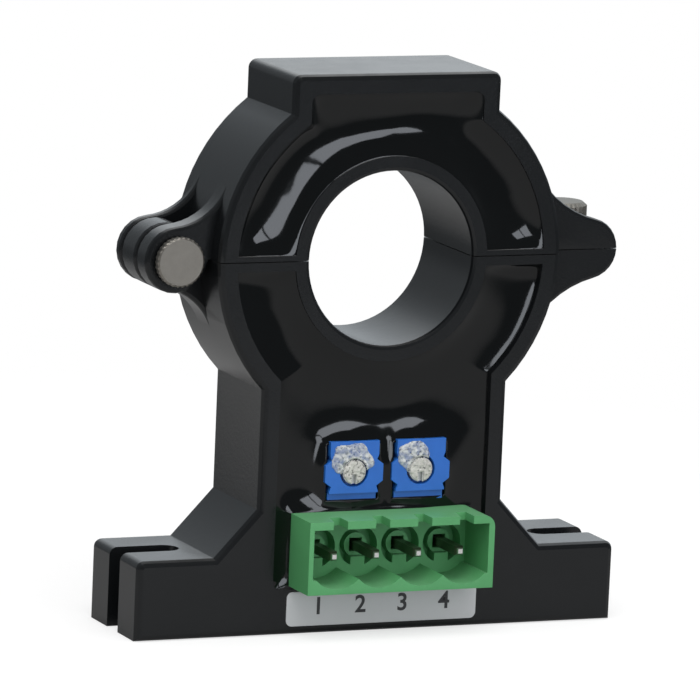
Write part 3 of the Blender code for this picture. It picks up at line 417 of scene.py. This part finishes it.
edges = {
    "housing": 0.16 * mm, "header": 0.1 * mm, "trimmer": 0.08 * mm, "rotor": 0.05 * mm,    # widths
    "segments": 2, "roundOver": 35.0,   # edges that turn by more degrees than this are rounded
    "smoothUnder": 16.0,                # and those that turn by less than this are shaded smooth
    "weldGap": 1e-6,
}


def makeShadeTree():
    # Smooth shading over the facets of curved walls, with every steeper edge kept crisp
    tree = bpy.data.node_groups.new("shadeByAngle", "GeometryNodeTree")
    for way in ("INPUT", "OUTPUT"):
        tree.interface.new_socket("Geometry", in_out=way, socket_type="NodeSocketGeometry")
    start = addNode(tree, "NodeGroupInput", (-500, 0))
    end = addNode(tree, "NodeGroupOutput", (300, 0))
    bend = addNode(tree, "GeometryNodeInputMeshEdgeAngle", (-500, -200))
    steep = addMath(tree, (-300, -200), "GREATER_THAN", math.radians(edges["smoothUnder"]))
    kind = "GeometryNodeSetShadeSmooth"
    smooth = addNode(tree, kind, (-300, 0), {"domain": "FACE"}, {"Shade Smooth": True})
    crisp = addNode(tree, kind, (0, 0), {"domain": "EDGE"}, {"Shade Smooth": False})
    join(tree, start, "Geometry", smooth, "Geometry")
    join(tree, smooth, "Geometry", crisp, "Geometry")
    join(tree, bend, "Unsigned Angle", steep, 0)
    join(tree, steep, 0, crisp, "Selection")
    join(tree, crisp, "Geometry", end, "Geometry")
    return tree


shadeTree = makeShadeTree()


def softenEdges(piece, width):
    # The import splits vertices at hard edges, so they are welded before the edges are rounded
    weld = piece.modifiers.new("weld", "WELD")
    weld.merge_threshold = edges["weldGap"]
    edge = piece.modifiers.new("softEdges", "BEVEL")
    edge.width = width
    edge.segments = edges["segments"]
    edge.limit_method = "ANGLE"
    edge.angle_limit = math.radians(edges["roundOver"])
    edge.use_clamp_overlap = True
    shade = piece.modifiers.new("shade", "NODES")
    shade.node_group = shadeTree


def dress(names, material, edge=0.0):
    for name in names:
        piece = nodes[name]
        piece.data.materials.clear()
        piece.data.materials.append(material)
        if edge:
            softenEdges(piece, edge)


# the upper housing gets the stronger painted top light on its flat top
topLitLook = {**housingLook, "paintedTopLight": upperTopLight}
dress(["upper_housing"], makeFinish("dustedMoulding", topLitLook), edges["housing"])
dress(["lower_housing"], makeFinish("blackMoulding", housingLook), edges["housing"])
dress(["terminal_header"], makeFinish("greenNylon", headerLook), edges["header"])
dress(["trimmer_body_zero", "trimmer_body_gain"], makeFinish("blueMoulding", trimmerLook), edges["trimmer"])
dress(["trimmer_rotor_zero", "trimmer_rotor_gain"], makeMetal("rotorMetal", rotorLook), edges["rotor"])
dress(["terminal_pin_1", "terminal_pin_2", "terminal_pin_3", "terminal_pin_4"],
      makeMetal("tinnedPin", pinLook))
dress(["hinge_pin", "clamp_screw"], makeMetal("knurledSteel", steelLook))
dress(["clamp_insert"], makeMetal("turnedBrass", brassLook))
dress(["upper_core", "lower_core_left", "lower_core_right"], makeMetal("coreStrip", coreLook))
dress(["circuit_board"], makeFinish("boardLaminate", boardLook))
dress(["hall_element", "amplifier_chip", "regulator_chip", "input_diode", "output_diode"],
      makeFinish("packageMoulding", packageLook))
dress(["upper_capacitor", "lower_capacitor"], makeFinish("firedCeramic", ceramicLook))
print("finishes on the solids done")


# Resin: a mirror-smooth skin in each half, with faint dimples, that climbs where it wets a wall

resinLook = {
    "colour": (0.0022, 0.0026, 0.0028), "roughness": 0.06, "ior": 1.46,
    "drift": 0.5, "driftScale": 150.0,
    "grain": 0.06, "grainScale": 700.0, "grainDepth": 0.00004, "wander": 1.0,
}
resin = {
    "step": 0.2 * mm,           # spacing of the surface's points
    "level": 1.35 * mm,         # flat surface behind the rim
    "thickness": 1.2 * mm,
    "overlap": 0.45 * mm,       # how far the skin runs into the walls
    "ripple": 0.05 * mm, "rippleScale": 190.0, "rippleSeed": {"upper": 3000.0, "lower": 7000.0},
    "topRise": 1.1 * mm, "topReach": 1.7 * mm,
    "sideRise": 0.8 * mm, "sideReach": 0.45 * mm,
    "leftRise": 1.0 * mm, "leftReach": 0.8 * mm,
    "rightRise": 1.1 * mm, "rightReach": 1.7 * mm,
    "lowLeftRise": 1.0 * mm, "lowLeftReach": 2.8 * mm,
    "lowRightRise": 0.36 * mm, "lowRightReach": 1.5 * mm,
    "splitRise": 0.9 * mm, "splitReach": 1.7 * mm,
    "seamRise": 0.8 * mm, "seamReach": 0.7 * mm,
    "tubeRise": 1.25 * mm, "tubeReach": 1.9 * mm,
    "trimmerRise": 0.95 * mm, "trimmerReach": 1.7 * mm, "round": 0.5,
    "headerRise": 0.95 * mm, "headerReach": 1.8 * mm,
    "headerLean": 0.5, "headerLeanFrom": 5.0,   # how fast its climb dies out to the right, and from where
    "leanWidth": 8.0,           # left turns into right over this many millimetres either side of the middle
    "leanGap": 6.0,             # how much farther off the other side's wall is taken to be
    "highest": 1.27 * mm, "limit": 6,   # climbs stay just under the rim; a higher limit bends them later
    "reachWander": 0.3,         # how much the climbs differ from place to place
    "reachScale": 0.16, "reachSeed": 40.0,
    "smooth": 1.6,              # how softly two climbs run into each other
}
skinFlank = 0.2                 # faces of a skin that look less to the front than this are its edge

# Walls that hold the resin, in millimetres about the window's centre
tubeRadius = 11.5
cavityRadius = 18.4
splitWall = {"upper": 0.66, "lower": 1.06}
blockHalf = 10.35
blockTop = 18.5
neckHalf = 12.7
neckFloor = -36.85
rimFront = -7.0


def boxGap(x, z, low, high):
    # Distance from a point to an upright rectangle, negative inside
    across = max(low[0] - x, x - high[0])
    up = max(low[1] - z, z - high[1])
    if across > 0 and up > 0:
        return math.hypot(across, up)
    return max(across, up)


def roundGap(x, z, low, high):
    # The same gap, drawn towards a circle about the rectangle's middle, so that climbs round its corners
    middle = (low[0] + high[0]) / 2, (low[1] + high[1]) / 2
    circle = math.hypot(x - middle[0], z - middle[1]) - min(high[0] - low[0], high[1] - low[1]) / 2
    return boxGap(x, z, low, high) * (1 - resin["round"]) + circle * resin["round"]


def nodeRectangle(name):
    # A node's outline seen from the front, in millimetres about the window's centre
    low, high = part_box(name)
    return (low.x / mm, (low.z - windowHeight) / mm), (high.x / mm, (high.z - windowHeight) / mm)


trimmerRectangles = [nodeRectangle("trimmer_body_zero"), nodeRectangle("trimmer_body_gain")]
headerRectangle = nodeRectangle("terminal_header")


def resinWalls(x, z, half):
    # The gap to the nearest wall, negative outside, and each wall's kind with the gap to it
    radius = math.hypot(x, z)
    ring = cavityRadius - radius
    across = blockHalf - abs(x)
    tube = radius - tubeRadius
    lean = 0.5 + 0.5 * max(-1.0, min(1.0, x / resin["leanWidth"]))      # 0 on the left, 1 on the right
    asLeft, asRight = resin["leanGap"] * lean, resin["leanGap"] * (1 - lean)
    if half == "upper":
        top = blockTop - z
        corner = math.sqrt(cavityRadius ** 2 - blockHalf ** 2)
        below = max(corner - z, 0.0)
        curve = ring if abs(x) * cavityRadius > blockHalf * radius else math.hypot(across, below)
        inside = min(max(ring, min(across, top)), z - splitWall[half])
        return inside, [
            ("top", math.hypot(max(-across, 0.0), top)), ("side", math.hypot(across, below)),
            ("left", curve + asLeft), ("right", curve + asRight),
            ("split", z - splitWall[half]), ("tube", tube)]
    neck = max(ring, min(neckHalf - abs(x), z - neckFloor, -z))
    seam = -z - splitWall[half]
    header = boxGap(x, z, *headerRectangle) + resin["headerLean"] * max(0.0, x - resin["headerLeanFrom"])
    return min(neck, seam), [
        ("lowLeft", neck + asLeft), ("lowRight", neck + asRight), ("seam", seam), ("tube", tube),
        ("header", header), *(("trimmer", roundGap(x, z, *edge)) for edge in trimmerRectangles)]


def resinRise(walls, x, z, half):
    # How far the surface climbs where it wets its walls
    total = 0.0
    for number, (wall, gap) in enumerate(walls):
        spot = Vector((x * resin["reachScale"], z * resin["reachScale"], resin["reachSeed"] + number))
        swell = 1 + resin["reachWander"] * noise.noise(spot)
        climb = resin[wall + "Rise"] * math.exp(-max(gap, 0.0) * mm / (resin[wall + "Reach"] * swell))
        total += climb ** resin["smooth"]
    wander = noise.noise(Vector((x, z, resin["rippleSeed"][half])) * mm * resin["rippleScale"])
    rise = total ** (1 / resin["smooth"]) + resin["ripple"] * wander
    return rise / (1 + (max(rise, 0.0) / resin["highest"]) ** resin["limit"]) ** (1 / resin["limit"])


def makeSkin(name, low, high, step, front, back, material):
    # A closed skin over a grid in millimetres: front(x, z) gives its face in metres, or None for no skin
    depths = {}
    for i in range(math.floor(low[0] / step), math.ceil(high[0] / step) + 1):
        for j in range(math.floor(low[1] / step), math.ceil(high[1] / step) + 1):
            y = front(i * step, j * step)
            if y is not None:
                depths[i, j] = y
    cells = [((i, j), (i + 1, j), (i + 1, j + 1), (i, j + 1)) for i, j in depths]
    cells = [cell for cell in cells if all(corner in depths for corner in cell)]
    used = {corner for cell in cells for corner in cell}
    sides = {side for cell in cells for side in zip(cell, (*cell[1:], cell[0]))}
    bm = bmesh.new()
    fore, rear = {}, {}
    for (i, j), y in depths.items():
        if (i, j) in used:
            x, z = i * step * mm, j * step * mm + windowHeight
            fore[i, j] = bm.verts.new((x, y, z))
            rear[i, j] = bm.verts.new((x, back, z))
    for cell in cells:
        bm.faces.new([fore[corner] for corner in cell])
        bm.faces.new([rear[corner] for corner in reversed(cell)])
        for a, b in zip(cell, (*cell[1:], cell[0])):
            if (b, a) not in sides:     # no cell beyond this side, so the skin's edge closes it
                bm.faces.new((fore[b], fore[a], rear[a], rear[b]))
    bm.normal_update()
    for face in bm.faces:
        face.smooth = abs(face.normal.y) > skinFlank
    return makePiece(name, bm, material)


def makeResin(half):
    margin = resin["overlap"] / mm
    low, high = (0.0, blockTop) if half == "upper" else (neckFloor, 0.0)

    def front(x, z):
        inside, walls = resinWalls(x, z, half)
        parts = [boxGap(x, z, *edge) for edge in (*trimmerRectangles, headerRectangle)]
        if min(inside, math.hypot(x, z) - tubeRadius, *parts) > -margin:
            return rimFront * mm + resin["level"] - resinRise(walls, x, z, half)
        return None

    reach = cavityRadius + margin
    return makeSkin(half + "Resin", (-reach, low - margin), (reach, high + margin), resin["step"] / mm,
                    front, rimFront * mm + resin["level"] + resin["thickness"], resinMaterial)


resinMaterial = makeFinish("blackResin", resinLook)
for half in ("upper", "lower"):
    piece = makeResin(half)
    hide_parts(half + "_potting")
    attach(piece, half + "_half")
print("resin done")


# Sealing lacquer: a dab on each trimmer beside its rotor, and a cap on the rotor that turns with it

lacquer = {
    "roughness": 0.3, "coat": 0.4, "drift": 0.7, "driftScale": 900.0,
    "stain": (0.08, 0.085, 0.08), "stainScale": 3200.0, "stainDetail": 3.0,
    "stainFrom": (0.54, 0.68), "stainMost": 0.85,
    "thinScale": 1900.0, "thinDetail": 4.0, "thinFrom": (0.42, 0.58),
    "cover": 0.86,              # how well it hides what is under it where it isn't thin
    "grain": 0.8, "grainScale": 2400.0, "grainDepth": 0.00012, "wander": 1.5,
    "step": 0.09, "sink": 0.06, "span": 3.6,    # millimetres, as all below
    "zero": {"middle": (-0.35, 1.45), "size": (2.5, 1.95), "seed": 2.0},
    "gain": {"middle": (-1.0, 1.45), "size": (2.0, 1.95), "seed": 5.0},
}
dab = {
    "colour": (0.66, 0.68, 0.66), "thinnest": 0.45, "seed": 0.0,
    "outline": 0.3, "outlineScale": 0.7,        # how far its edge wanders
    "height": 0.26, "slope": 0.35,              # slope is the share of its size in which it gets thick
    "level": 0.75, "lumps": 0.6, "lumpScale": 2.6,
    "rotorGap": 0.05,                           # how near to the rotor it goes
    "sideEdge": 2.8, "topEdge": 3.3,            # how far from the rotor's middle it may go
}
cap = {
    "colour": (0.66, 0.65, 0.6), "thinnest": 0.7, "seed": 20.0,
    "outline": 0.15, "outlineScale": 1.6,
    "height": 0.16, "slope": 0.3, "level": 0.8, "lumps": 0.5, "lumpScale": 2.8,
    "radius": 1.45, "rimGap": 0.04,
    "slotHalf": 0.3, "slotTop": -0.35,          # it leaves the slot's lower end open
}
lumpShift = 10.0    # sets the lumps' noise apart from the outline's


def makeLacquerMaterial(name, kind):
    # Brushed-on sealing lacquer: pale, speckled, thin enough in places to see what is under it
    material, tree, shader = startMaterial(name, {"Coat Weight": lacquer["coat"]})
    mottle = addMottle(tree, {**lacquer, "colour": kind["colour"]})
    place = addNode(tree, "ShaderNodeTexCoord", (-1100, -450))
    specks = addNoise(tree, place, (-900, -50), {
        "Scale": lacquer["stainScale"], "Detail": lacquer["stainDetail"]})
    speckMask = addRange(tree, (-700, -50), lacquer["stainFrom"], high=lacquer["stainMost"])
    toned = mixColour(tree, (-350, 200), (speckMask, 0), (mottle, "Colour"), lacquer["stain"])
    cloud = addNoise(tree, place, (-900, -450), {
        "Scale": lacquer["thinScale"], "Detail": lacquer["thinDetail"]})
    thin = addRange(tree, (-700, -450), lacquer["thinFrom"], kind["thinnest"], lacquer["cover"])
    join(tree, specks, "Fac", speckMask, "Value")
    join(tree, cloud, "Fac", thin, "Value")
    join(tree, *toned, shader, "Base Color")
    join(tree, mottle, "Roughness", shader, "Roughness")
    join(tree, thin, 0, shader, "Alpha")
    addGrain(tree, shader, lacquer)
    return material


def makeLacquer(which):
    spot = lacquer[which]
    low, high = nodeRectangle("trimmer_rotor_" + which)
    middle = ((low[0] + high[0]) / 2, (low[1] + high[1]) / 2)
    rotor = (high[0] - low[0]) / 2
    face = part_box("trimmer_body_" + which)[0].y

    def wander(x, z, scale, shift):
        return noise.noise(Vector((x * scale, z * scale, spot["seed"] + shift)))

    def outline(kind, x, z):
        return kind["outline"] * wander(x, z, kind["outlineScale"], kind["seed"])

    def surface(kind, x, z, inside):
        lumps = kind["level"] + kind["lumps"] * wander(x, z, kind["lumpScale"], kind["seed"] + lumpShift)
        body = min(1.0, inside / kind["slope"]) ** 0.5 * lumps
        return face - kind["height"] * body * mm

    def dabFront(x, z):
        x, z = x - middle[0], z - middle[1]
        away = math.hypot(*((place - centre) / size for place, centre, size in zip(
            (x, z), spot["middle"], spot["size"])))
        inside = 1 - away + outline(dab, x, z)
        if inside < 0 or abs(x) > dab["sideEdge"] or z > dab["topEdge"]:
            return None
        if math.hypot(x, z) < rotor + dab["rotorGap"]:
            return None
        return surface(dab, x, z, inside)

    def capFront(x, z):
        x, z = x - middle[0], z - middle[1]
        inside = 1 - math.hypot(x, z) / cap["radius"] + outline(cap, x, z)
        if inside < 0 or math.hypot(x, z) > rotor - cap["rimGap"]:
            return None
        if abs(x) < cap["slotHalf"] and z < cap["slotTop"]:
            return None
        return surface(cap, x, z, inside)

    span = lacquer["span"]
    corners = (middle[0] - span, middle[1] - span), (middle[0] + span, middle[1] + span)
    for name, front, material, body, slot in (
            ("Dab", dabFront, dabLacquer, "lower_half", "trimmer"),
            ("Cap", capFront, capLacquer, which + "_rotor", "rotor")):
        piece = makeSkin(which + "Lacquer" + name, *corners, lacquer["step"], front,
                         face + lacquer["sink"] * mm, material)
        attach(piece, body)


dabLacquer = makeLacquerMaterial("sealingLacquer", dab)
capLacquer = makeLacquerMaterial("rotorLacquer", cap)
for which in ("zero", "gain"):
    makeLacquer(which)
print("lacquer done")


# Label: a thin film flush on the base, with a plain number under each pin

label = {
    "thickness": 0.12 * mm, "cornerRadius": 0.7 * mm, "cornerSteps": 6,
    "edge": 0.04 * mm, "edgeSteps": 2,
    "textSize": 2.75 * mm, "textHeight": 0.55,     # share of the film's height, from its foot
    "textDepth": 0.01 * mm, "textBold": 0.05 * mm,
}
filmLook = {
    "colour": (0.56, 0.57, 0.58), "roughness": 0.42, "metallic": 0.15,
    "drift": 0.12, "driftScale": 160.0,
    "dust": 0.25, "dustScale": 1600.0, "dustColour": (0.4, 0.4, 0.39),
    "grain": 0.15, "grainScale": 5000.0, "grainDepth": 0.00002, "wander": 0.3,
}
inkLook = {"colour": (0.03, 0.03, 0.032), "roughness": 0.5, "drift": 0.8, "driftScale": 2600.0}


def makeFilm(low, high, back, front):
    # A flat plate with round corners and a fine bevel round its face
    radius = label["cornerRadius"]
    bm = bmesh.new()
    outline = []
    for x, z, start in ((high.x - radius, high.z - radius, 0), (low.x + radius, high.z - radius, 90),
                        (low.x + radius, low.z + radius, 180), (high.x - radius, low.z + radius, 270)):
        for i in range(label["cornerSteps"] + 1):
            angle = math.radians(start + 90 / label["cornerSteps"] * i)
            outline.append(bm.verts.new((x + radius * math.cos(angle), back, z + radius * math.sin(angle))))
    lifted = bmesh.ops.extrude_face_region(bm, geom=[bm.faces.new(outline)])
    for item in lifted["geom"]:
        if isinstance(item, bmesh.types.BMVert):
            item.co.y = front
    bmesh.ops.recalc_face_normals(bm, faces=bm.faces[:])
    rim = [item for item in lifted["geom"] if isinstance(item, bmesh.types.BMEdge)]
    bmesh.ops.bevel(bm, geom=rim, offset=label["edge"], segments=label["edgeSteps"],
                    profile=0.5, affect="EDGES")
    return makePiece("labelFilm", bm, makeFinish("silverFilm", filmLook))


def makeDigit(number, ink, front, height):
    low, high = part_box("terminal_pin_" + str(number))
    words = bpy.data.curves.new("number" + str(number), "FONT")
    words.body = str(number)
    words.size = label["textSize"]
    words.align_x = "CENTER"
    words.align_y = "CENTER"
    words.extrude = label["textDepth"]
    words.offset = label["textBold"]
    words.materials.append(ink)
    digit = addObject("number" + str(number), words)
    digit.rotation_euler = (math.radians(90), 0, 0)
    digit.location = ((low.x + high.x) / 2, front - label["textDepth"], height)
    return digit


def makeLabel():
    low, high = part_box("label_plate")
    back = rimFront * mm
    front = back - label["thickness"]
    film = makeFilm(low, high, back, front)
    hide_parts("label_plate")
    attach(film, "lower_half")
    ink = makeFinish("printInk", inkLook)
    height = low.z + (high.z - low.z) * label["textHeight"]
    for number in range(1, 5):
        digit = makeDigit(number, ink, front, height)
        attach(digit, "lower_half")


makeLabel()
print("label done")


# Stage

pureWhite = (1, 1, 1, 1)
sheet = {
    "colour": (0.38, 0.38, 0.38), "roughness": 0.9, "specular": 0.1, "drift": 0.02, "driftScale": 3.0,
    "middle": (-0.05, -0.06), "radius": 0.24, "sides": 96, "sink": 0.05 * mm,
    "fade": (0.13, 0.23),       # where it starts to run out, and where it ends
    "white": 0.66,              # what it gains to meet the white background
    "mirrored": 0.1,            # share of that in mirrors and through glass
}


def makeFloor():
    # A round pale sheet that fades into the white background and keeps the shadow
    bm = bmesh.new()
    bmesh.ops.create_circle(bm, cap_ends=True, segments=sheet["sides"], radius=sheet["radius"])
    material, tree, shader = startMaterial("paleFloor", {
        "Roughness": sheet["roughness"], "Specular IOR Level": sheet["specular"],
        "Emission Color": pureWhite})
    mottle = addMottle(tree, sheet)
    path = addNode(tree, "ShaderNodeLightPath", (-900, 0))
    mirrored = addMath(tree, (-700, -50), "MAXIMUM")
    share = addMath(tree, (-550, -50), "MULTIPLY", sheet["mirrored"])
    seen = addMath(tree, (-400, 0), "MAXIMUM")
    white = addMath(tree, (-250, 0), "MULTIPLY", sheet["white"])
    place = addNode(tree, "ShaderNodeTexCoord", (-900, -300))
    far = addNode(tree, "ShaderNodeVectorMath", (-700, -300), {"operation": "LENGTH"})
    fade = addRange(tree, (-500, -300), sheet["fade"], 1.0, 0.0, smooth=True)
    join(tree, mottle, "Colour", shader, "Base Color")
    join(tree, path, "Is Glossy Ray", mirrored, 0)
    join(tree, path, "Is Transmission Ray", mirrored, 1)
    join(tree, mirrored, 0, share, 0)
    join(tree, path, "Is Camera Ray", seen, 0)
    join(tree, share, 0, seen, 1)
    join(tree, seen, 0, white, 0)
    join(tree, white, 0, shader, "Emission Strength")
    join(tree, place, "Object", far, 0)
    join(tree, far, "Value", fade, "Value")
    join(tree, fade, 0, shader, "Alpha")
    floor = makePiece("floor", bm, material)
    floor.location = (*sheet["middle"], -sheet["sink"])


# Tones of the world, and between which parts of a unit direction each one turns into the next
room = {
    "mirrorBack": 0.85, "mirrorLeft": 0.3, "mirrorTop": 0.6, "mirrorLow": 0.15, "mirrorFront": 0.13,
    "mirrorColour": (0.92, 1.0, 1.06),
    "horizonFrom": (-0.12, 0.12), "rightFrom": (-0.35, 0.2), "backFrom": (-0.5, 0.4), "topFrom": (0.7, 1.0),
    "mattLow": 0.4, "mattHigh": 1.0, "mattFront": 1.25, "mattBack": 0.45,
    "mattHighFrom": (-0.3, 0.8), "mattBackFrom": (-0.7, 0.7),
}


def makeWorld():
    # White to the camera. Mirrors see it pale behind and overhead, dim to the left, in front and low down
    world = bpy.data.worlds.new("studio")
    bpy.context.scene.world = world
    world.use_nodes = True
    tree = world.node_tree
    tree.nodes.clear()
    path = addNode(tree, "ShaderNodeLightPath", (-900, 300))
    place = addNode(tree, "ShaderNodeTexCoord", (-1300, 0))
    parts = addNode(tree, "ShaderNodeSeparateXYZ", (-1100, 0))
    join(tree, place, "Generated", parts, "Vector")

    horizon = addRange(tree, (-900, 100), room["horizonFrom"], smooth=True)
    side = addRange(tree, (-900, 350), room["rightFrom"],
                    room["mirrorLeft"], room["mirrorBack"], smooth=True)
    depth = addRange(tree, (-900, -150), room["backFrom"], smooth=True)
    overhead = addRange(tree, (-900, -400), room["topFrom"], 0.0, room["mirrorTop"], smooth=True)
    numbers = {"data_type": "FLOAT"}
    back = addNode(tree, "ShaderNodeMix", (-750, 200), numbers, {numberA: room["mirrorLow"]})
    around = addNode(tree, "ShaderNodeMix", (-700, 0), numbers, {numberA: room["mirrorFront"]})
    mirror = addMath(tree, (-500, -100), "MAXIMUM")
    glossy = addNode(tree, "ShaderNodeBackground", (-300, -100), values={
        "Color": colourOf(room["mirrorColour"])})
    join(tree, parts, "Z", horizon, "Value")
    join(tree, parts, "X", side, "Value")
    join(tree, parts, "Y", depth, "Value")
    join(tree, parts, "Z", overhead, "Value")
    join(tree, horizon, 0, back, "Factor")
    join(tree, side, 0, back, numberB)
    join(tree, depth, 0, around, "Factor")
    join(tree, back, 0, around, numberB)
    join(tree, around, 0, mirror, 0)
    join(tree, overhead, 0, mirror, 1)
    join(tree, mirror, 0, glossy, "Strength")

    sky = addRange(tree, (-900, -650), room["mattHighFrom"],
                   room["mattLow"], room["mattHigh"], smooth=True)
    front = addRange(tree, (-900, -900), room["mattBackFrom"],
                     room["mattFront"], room["mattBack"], smooth=True)
    dome = addMath(tree, (-700, -750), "MULTIPLY")
    matt = addNode(tree, "ShaderNodeBackground", (-300, 100), values={"Color": pureWhite})
    join(tree, parts, "Z", sky, "Value")
    join(tree, parts, "Y", front, "Value")
    join(tree, sky, 0, dome, 0)
    join(tree, front, 0, dome, 1)
    join(tree, dome, 0, matt, "Strength")

    white = addNode(tree, "ShaderNodeBackground", (-300, 250), values={"Color": pureWhite, "Strength": 1.0})
    seen = addMath(tree, (-600, 350), "MAXIMUM")
    lit = addNode(tree, "ShaderNodeMixShader", (-100, 0))
    final = addNode(tree, "ShaderNodeMixShader", (50, 150))
    output = addNode(tree, "ShaderNodeOutputWorld", (250, 150))
    join(tree, path, "Is Camera Ray", seen, 0)
    join(tree, path, "Is Transmission Ray", seen, 1)
    join(tree, path, "Is Glossy Ray", lit, "Fac")
    join(tree, matt, 0, lit, 1)
    join(tree, glossy, 0, lit, 2)
    join(tree, seen, 0, final, "Fac")
    join(tree, lit, 0, final, 1)
    join(tree, white, 0, final, 2)
    join(tree, final, 0, output, "Surface")


# Two soft panes side by side in front, and a lamp overhead. Places and sizes in metres, powers in watts
lampAim = (0, 0, 0.03)
panes = {
    "place": (0.185, -0.96, 0.11), "size": (0.24, 0.2), "gap": 0.03, "power": 0.68,
    "colour": (0.92, 0.97, 1.05), "roll": 30.0,
}
overheadLamp = {
    "place": (-0.15, -0.4, 0.9), "size": (0.6, 0.6), "power": 3.4,
    "colour": (1, 1, 1), "roll": 0.0,
}


def makeLamp(name, look, shift=0.0):
    lamp = bpy.data.lights.new(name, "AREA")
    lamp.shape = "RECTANGLE"
    lamp.size, lamp.size_y = look["size"]
    lamp.energy = look["power"]
    lamp.color = look["colour"]
    aimAt(addObject(name, lamp), look["place"], lampAim, look["roll"], shift)


# The photograph's own view, solved from the ring, the feet and the header
view = {
    "place": (-0.335132, -0.762085, 0.177937),
    "aim": (-0.001348, 0.000452, 0.030484),
    "roll": 2.4395, "lens": 389.84, "sensor": 36.0, "clip": (0.01, 20.0),
}


def makeCamera():
    camera = bpy.data.cameras.new("photoView")
    camera.lens = view["lens"]
    camera.sensor_width = view["sensor"]
    camera.clip_start, camera.clip_end = view["clip"]
    holder = addObject("photoView", camera)
    aimAt(holder, view["place"], view["aim"], view["roll"])
    bpy.context.scene.camera = holder


makeFloor()
makeWorld()
for name, side in (("leftPane", -1), ("rightPane", 1)):
    makeLamp(name, panes, side * (panes["size"][0] + panes["gap"]) / 2)
makeLamp("topLamp", overheadLamp)
makeCamera()
bpy.context.scene.view_settings.view_transform = "Standard"
print("stage done")
